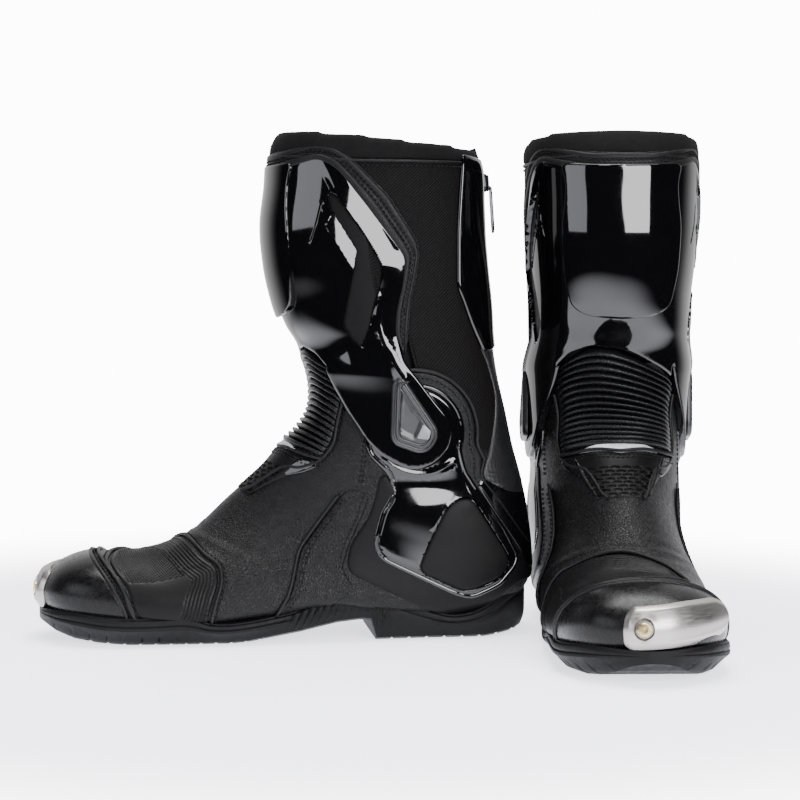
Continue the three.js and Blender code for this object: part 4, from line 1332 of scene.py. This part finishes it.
# ---------- the collar, lining and rear zip ----------
REAR_GAP = 0.165  # radians on each side of the zip that the collar leaves open
PRESSURE, CLOTH_FRAMES = 4, 20
collar_top = over_girth([(FRONT, 315.5), (125, 312.5), (90, 307), (60, 303), (REAR, 302)])


def collar_seed():
    """The collar before it is stuffed: a slim ring, open at the zip."""
    def outer(places):
        top, seam = collar_top(places[..., 0]), seam_line(places[..., 0])
        f = (places[..., 1] - top) / (seam - top)
        return 1.2 + 0.9 * np.sin(math.pi * np.clip(f, 0, 1)) ** 0.5

    def inner(places):
        return -3.6 - 0.8 * np.sin(math.pi * np.clip(places[..., 1] / 22, 0, 1))
    return wrap(lambda a: collar_top(a) - 2.2, lambda a: seam_line(a) + 1.5, outer, inner, 7, 110,
                math.pi - REAR_GAP, closed=False)


def stuffed(part, voxel=2.6, cap_mm=1.8):
    """The part swollen by a short cloth simulation, moved no farther than the cap."""
    points, faces, _ = part
    mesh = bpy.data.meshes.new("stuffing")
    mesh.from_pydata((points * MM).tolist(), [], faces)
    pad = bpy.data.objects.new("stuffing", mesh)
    bpy.context.scene.collection.objects.link(pad)
    bpy.context.view_layer.objects.active = pad
    remesh = pad.modifiers.new("remesh", "REMESH")
    remesh.mode, remesh.voxel_size = "VOXEL", voxel * MM
    bpy.ops.object.modifier_apply(modifier=remesh.name)
    ease = pad.modifiers.new("ease", "SMOOTH")
    ease.factor, ease.iterations = 0.6, 9
    bpy.ops.object.modifier_apply(modifier=ease.name)
    start = np.zeros(len(pad.data.vertices) * 3)
    pad.data.vertices.foreach_get("co", start)
    cloth = pad.modifiers.new("cloth", "CLOTH")
    cloth.settings.use_pressure = True
    cloth.settings.uniform_pressure_force = PRESSURE
    cloth.settings.effector_weights.gravity = 0
    cloth.point_cache.frame_end = CLOTH_FRAMES
    for step in range(1, CLOTH_FRAMES + 1):
        bpy.context.scene.frame_set(step)
    bpy.ops.object.modifier_apply(modifier=cloth.name)
    bpy.context.scene.frame_set(1)
    end = np.zeros(len(start))
    pad.data.vertices.foreach_get("co", end)
    move = (end - start).reshape(-1, 3)
    far = np.linalg.norm(move, axis=1, keepdims=True)
    move *= np.minimum(1, cap_mm * MM / np.maximum(far, 1e-9))
    pad.data.vertices.foreach_set("co", (start.reshape(-1, 3) + move).ravel())
    smooth = pad.modifiers.new("smooth", "SUBSURF")
    smooth.levels = 1
    bpy.ops.object.modifier_apply(modifier=smooth.name)
    done = np.zeros(len(pad.data.vertices) * 3)
    pad.data.vertices.foreach_get("co", done)
    done = done.reshape(-1, 3) / MM
    result = done, [list(p.vertices) for p in pad.data.polygons], done[:, [1, 2]]
    bpy.data.objects.remove(pad)
    return result


collar = place("collar", stuffed(collar_seed()), KNIT, "cuff", ["collar"], sharp=80)
lining = wrap(lambda a: collar_top(a) + 3, lambda a: np.full_like(a, level(262, 40)), -4.4, -5.6, 90, 90)
place("lining", lining, LINING, "ankle", ["lining"])

ZIP_TOP, ZIP_END = (29.0, 290.0), (22.0, 184.0)
zip_along = np.array([ZIP_END[0] - ZIP_TOP[0], ZIP_END[1] - ZIP_TOP[1]])
zip_along /= np.linalg.norm(zip_along)


def zip_chart(out):
    """A flat chart behind the zip: a runs to the lateral side, b down from the zip's top."""
    def chart(places):
        places = np.asarray(places, float)
        x = ZIP_TOP[0] + zip_along[0] * places[..., 1] + zip_along[1] * out
        z = ZIP_TOP[1] + zip_along[1] * places[..., 1] - zip_along[0] * out
        return np.stack([x, -places[..., 0], z], -1)
    return chart


STRIP_COLUMNS = 25
REAR_RADIUS = 52  # the skin's radius round the zip, so that half widths are millimetres


def rear_strip(b0, b1, half_width, height, low, rows):
    """A strip down the middle of the rear, between two places of the leg."""
    b = np.linspace(b0, b1, rows + 1)[:, None]
    u = np.linspace(-1, 1, STRIP_COLUMNS)[None, :]
    a = math.pi * GIRTH + u * half_width * GIRTH / REAR_RADIUS + 0 * b
    places = np.stack([a, b + 0 * u], -1)
    return sheet(places, height(u), low)


tape_top, tape_low = level(REAR, 299), level(REAR, 179)
tape = rear_strip(tape_top, tape_low, 8.5, lambda u: 0.9 + 0.8 * smoothstep(np.abs(u), 0.55, 0.8), -1.5, 60)
place("zip_tape", tape, FABRIC, "cuff", ["zip_tape"])


def teeth():
    """Two rows of interlocked teeth down the middle of the zip."""
    spots, parts = np.arange(level(REAR, 290), level(REAR, 182), 0.8), []
    for k, b in enumerate(spots):
        offset = 0.9 if k % 2 else -0.9
        line = np.array([[math.pi * GIRTH + offset - 1.3, b], [math.pi * GIRTH + offset + 1.3, b]])
        parts.append(tube(lifted(skin, line, 1.5), 0.62, 6, up=normals(skin, line)))
    return merged(parts)


place("zip_teeth", teeth(), NYLON, "cuff")
ZIP_REST = 8.0
slider_body = panel(rounded([(-4.5, 3), (-3, -6), (3, -6), (4.5, 3), (2.6, 6), (-2.6, 6)], 2, step=0.8)
                    + [0, ZIP_REST], [(0, -1.0), (0.4, 0.6), (1.0, 1.2), (1.8, 1.4)], chart=zip_chart(4.0),
                    spacing=1.0, thick=1.9)
bridge = [zip_chart(h)(np.array([0.0, ZIP_REST + b]))
          for h, b in ((5.0, -4.6), (6.0, -4.4), (6.2, -3.4), (6.2, 0.5), (6.2, 4.0), (5.6, 4.9), (5.0, 5.0))]
across = np.tile([0.0, 1.0, 0.0], (7, 1))
place("zip_slider", merged([slider_body, tube(bridge, 0.55, 8, up=across)]), ZINC, "zip_slider",
      ["zip_slider"])
pull_ring = rounded([(-1.6, 2), (1.6, 2), (3, 9), (3, 27), (1.8, 32), (-1.8, 32), (-3, 27), (-3, 9)], 2.5,
                    step=0.9) + [0, ZIP_REST]


def pull_relief(points, places):
    inner = np.maximum(np.abs(places[:, 0]) - 1.5, np.abs(places[:, 1] - ZIP_REST - 18) - 9)
    return -0.35 * smoothstep(inner, 0.2, -0.3)


pull = panel(pull_ring, [(0, -0.3), (0.3, 0.5), (0.8, 0.8)], chart=zip_chart(7.3), relief=pull_relief,
             spacing=0.8, thick=0.75)
place("zip_pull", pull, ZINC, "zip_pull", ["zip_pull"])

FLAP_REAR = [(30.5, 11, 296), (28.5, 11, 262), (26.5, 11, 235), (23.5, 11, 206), (22, 11, 179)]
flap_ring = np.vstack([side_line(FLAP_FRONT, 6), nearest(rounded(FLAP_REAR, 8, closed=False))[::-1]])
flap_front_line = side_line(FLAP_FRONT, 6)
flap = panel(flap_ring, [(0, 1.3), (0.3, 2.3), (0.9, 2.8), (1.6, 2.9)], spacing=2.4, thick=-1.2,
             grooves=[(shifted(skin, flap_front_line, 1.6), [(0, 0.5), (0.8, 0.35), (1.5, 0)])])
place("rear_flap", flap, GLOSS, "flap", ["rear_flap"], sharp=40)


# ---------- seams, piping and stitching ----------
boss_arc = side_line([*arc(PIVOT, 39, 78, 190), (32, 112)], 6)
foot_threads, foot_pipes = [], []
for line, height in (
        (side_line(SURROUND_LINE), 1.0),
        (side_line(QUARTER_SEAM, 4), 0.3),
        (shifted(skin, side_line(QUARTER_SEAM, 4), 2.0), 0.3),
        (side_line([(119, 88), (142, 57), (145, 44), (149, 30), (158, 17)]), 1.0),
        (side_line([(117, 88), (140, 56), (143, 44), (147, 30), (156, 17)]), 1.0),
        (side_line([(106, 90), (109.5, 79), (118.5, 59), (122, 46), (119, 40)]), 1.0)):
    foot_threads.append(both(stitches(line, height)))
for line, radius, height in (
        (boss_arc, 1.3, 1.2),
        (side_line([(121.5, 90), (146, 57), (149, 44), (153, 30), (162, 16)]), 1.1, 1.1),
        (side_line([(31, 113), (34.5, 101), (22.5, 86), (12, 71), (1, 57)]), 0.9, 0.9)):
    foot_pipes.append(both(piping(line, radius, height)))
toe_line = side_line(TOE_SEAM)
toe_line = toe_line[np.argsort(toe_line[:, 0])]
toe_line[0, 0] = 0
for distance in (0.4, -4.2):
    foot_pipes.append(piping(crossing(shifted(skin, toe_line, distance)), 1.15, 1.0))
foot_threads.append(stitches(crossing(shifted(skin, toe_line, -1.9)), 0.7))
INSTEP_BORDER = [(116, 149), (120, 132), (122, 120), (131, 109), (144, 104), (153, 105), (162, 99),
                 (172, 92), (179, 89)]
border = side_line(INSTEP_BORDER, 5)
foot_threads.append(both(stitches(border, 0.6)))
strip_edge = nearest(rounded(INSTEP_TOP, 14, closed=False))
foot_pipes.append(piping(shifted(skin, strip_edge, 0.6), 1.0, 1.7))
foot_threads += [stitches(shifted(skin, strip_edge, d), 1.4) for d in (-2.6, -4.6, 2.2)]
foot_pipes.append(both(piping(shifted(skin, border, 1.8), 1.15, 0.9)))
foot_pipes.append(piping(stretched(pad_outline, 2.2), 1.2, 0.9, closed=True))
foot_threads.append(stitches(stretched(pad_outline, 4.4), 0.45, closed=True))
place("foot_piping", merged(foot_pipes), EDGE_LEATHER, "ankle")
place("foot_stitching", merged(foot_threads), THREAD, "ankle")
collar_seam = np.array([[a, seam_line(a) + 0.6] for a in np.linspace(-2.9, 2.9, 240) * GIRTH])
place("collar_piping", piping(collar_seam, 0.9, 0.9), EDGE_LEATHER, "cuff")
place("collar_stitching", stitches(collar_seam + [0, 3.0], 0.9), THREAD, "cuff")


# ---------- the hidden pieces ----------
for side in ("right", "left"):
    for node, material in (("footbed", FOAM), ("insole_board", BOARD)):
        slots = frame["nodes"][f"{side}_{node}"].data.materials
        slots.clear()
        slots.append(material)


# ---------- stage, light and camera ----------
FADE_FROM, FADE_TO = 0.32, 0.66  # metres from the middle, over which the floor fades out
FLOOR_RADIUS = 1.9
AIM_HEIGHT = 0.16


def fading_floor():
    """A pale floor that fades into the background away from the object."""
    look = Look("pale_floor", (0.85, 0.85, 0.885), 0.65,
                **{"Emission Color": (0.9, 0.9, 1, 1), "Emission Strength": 1.9})
    away = look.add("VectorMath", {0: look.spots()}, out=1, operation="LENGTH")
    gone = look.add("MapRange", {0: away, 1: FADE_FROM, 2: FADE_TO}, interpolation_type="SMOOTHSTEP")
    look.set(look.shader, {"Alpha": look.math("SUBTRACT", 1.0, gone)})
    return look.material


lo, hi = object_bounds()
middle = Vector([(a + b) / 2 for a, b in zip(lo, hi)])
bpy.ops.mesh.primitive_circle_add(
    vertices=128, radius=FLOOR_RADIUS, fill_type="NGON", location=(middle.x, middle.y, 0))
floor = bpy.context.object
floor.name = "floor"
floor.data.materials.append(fading_floor())


def softbox(name, offset, width, height, power, color=(1, 1, 1)):
    """An area light at an offset from the object's middle on the floor, turned towards the object."""
    light = bpy.data.lights.new(name, "AREA")
    light.shape, light.size, light.size_y, light.energy = "RECTANGLE", width, height, power
    light.color = color
    lamp = bpy.data.objects.new(name, light)
    bpy.context.scene.collection.objects.link(lamp)
    lamp.location = (middle.x + offset[0], middle.y + offset[1], offset[2])
    aim = Vector((middle.x, middle.y, AIM_HEIGHT)) - lamp.location
    lamp.rotation_euler = aim.to_track_quat("-Z", "Y").to_euler()


softbox("left_box", (-1.28, -0.92, 0.6), 1.0, 0.9, 12, (0.92, 0.94, 1))
softbox("right_box", (0.72, -1.42, 0.61), 0.85, 0.88, 48, (0.97, 0.97, 1))
softbox("top_box", (0.1, 0.1, 1.9), 1.3, 1.3, 78)
softbox("front_box", (-0.3, -1.9, 2.2), 0.6, 0.4, 12)

world = bpy.data.worlds.new("studio")
bpy.context.scene.world = world
world.use_nodes = True
nodes, links = world.node_tree.nodes, world.node_tree.links
rays, direction, axes, behind, seen, shade = (nodes.new("ShaderNode" + kind) for kind in (
    "LightPath", "TexCoord", "SeparateXYZ", "MapRange", "Math", "Mix"))
behind.interpolation_type, seen.operation, shade.data_type = "SMOOTHSTEP", "MAXIMUM", "RGBA"
for key, value in (("From Min", 0.15), ("From Max", 0.7), ("To Max", 0.1)):
    behind.inputs[key].default_value = value
shade.inputs[6].default_value = (0.03, 0.03, 0.034, 1)  # the room that the gloss reflects
shade.inputs[7].default_value = (13, 13, 13.2, 1)  # the pale background
for source, into in (
        (direction.outputs["Generated"], axes.inputs[0]), (axes.outputs["Y"], behind.inputs["Value"]),
        (behind.outputs[0], seen.inputs[0]), (rays.outputs["Is Camera Ray"], seen.inputs[1]),
        (seen.outputs[0], shade.inputs[0]), (shade.outputs[2], nodes["Background"].inputs["Color"])):
    links.new(source, into)

# metres from the right boot's heel, degrees down and to the right, and millimetres of lens
CAMERA = {"offset": (-0.1188, -1.3912, 0.233), "down": 3.609, "right": 1.69, "lens": 99}
heel, _, _ = PLACES["right"]
camera = bpy.data.objects.new("camera", bpy.data.cameras.new("camera"))
bpy.context.scene.collection.objects.link(camera)
camera.location = heel + Vector(CAMERA["offset"])
camera.rotation_euler = (math.radians(90 - CAMERA["down"]), 0, math.radians(-CAMERA["right"]))
camera.data.lens = CAMERA["lens"]
camera.data.clip_start = 0.05
bpy.context.scene.camera = camera
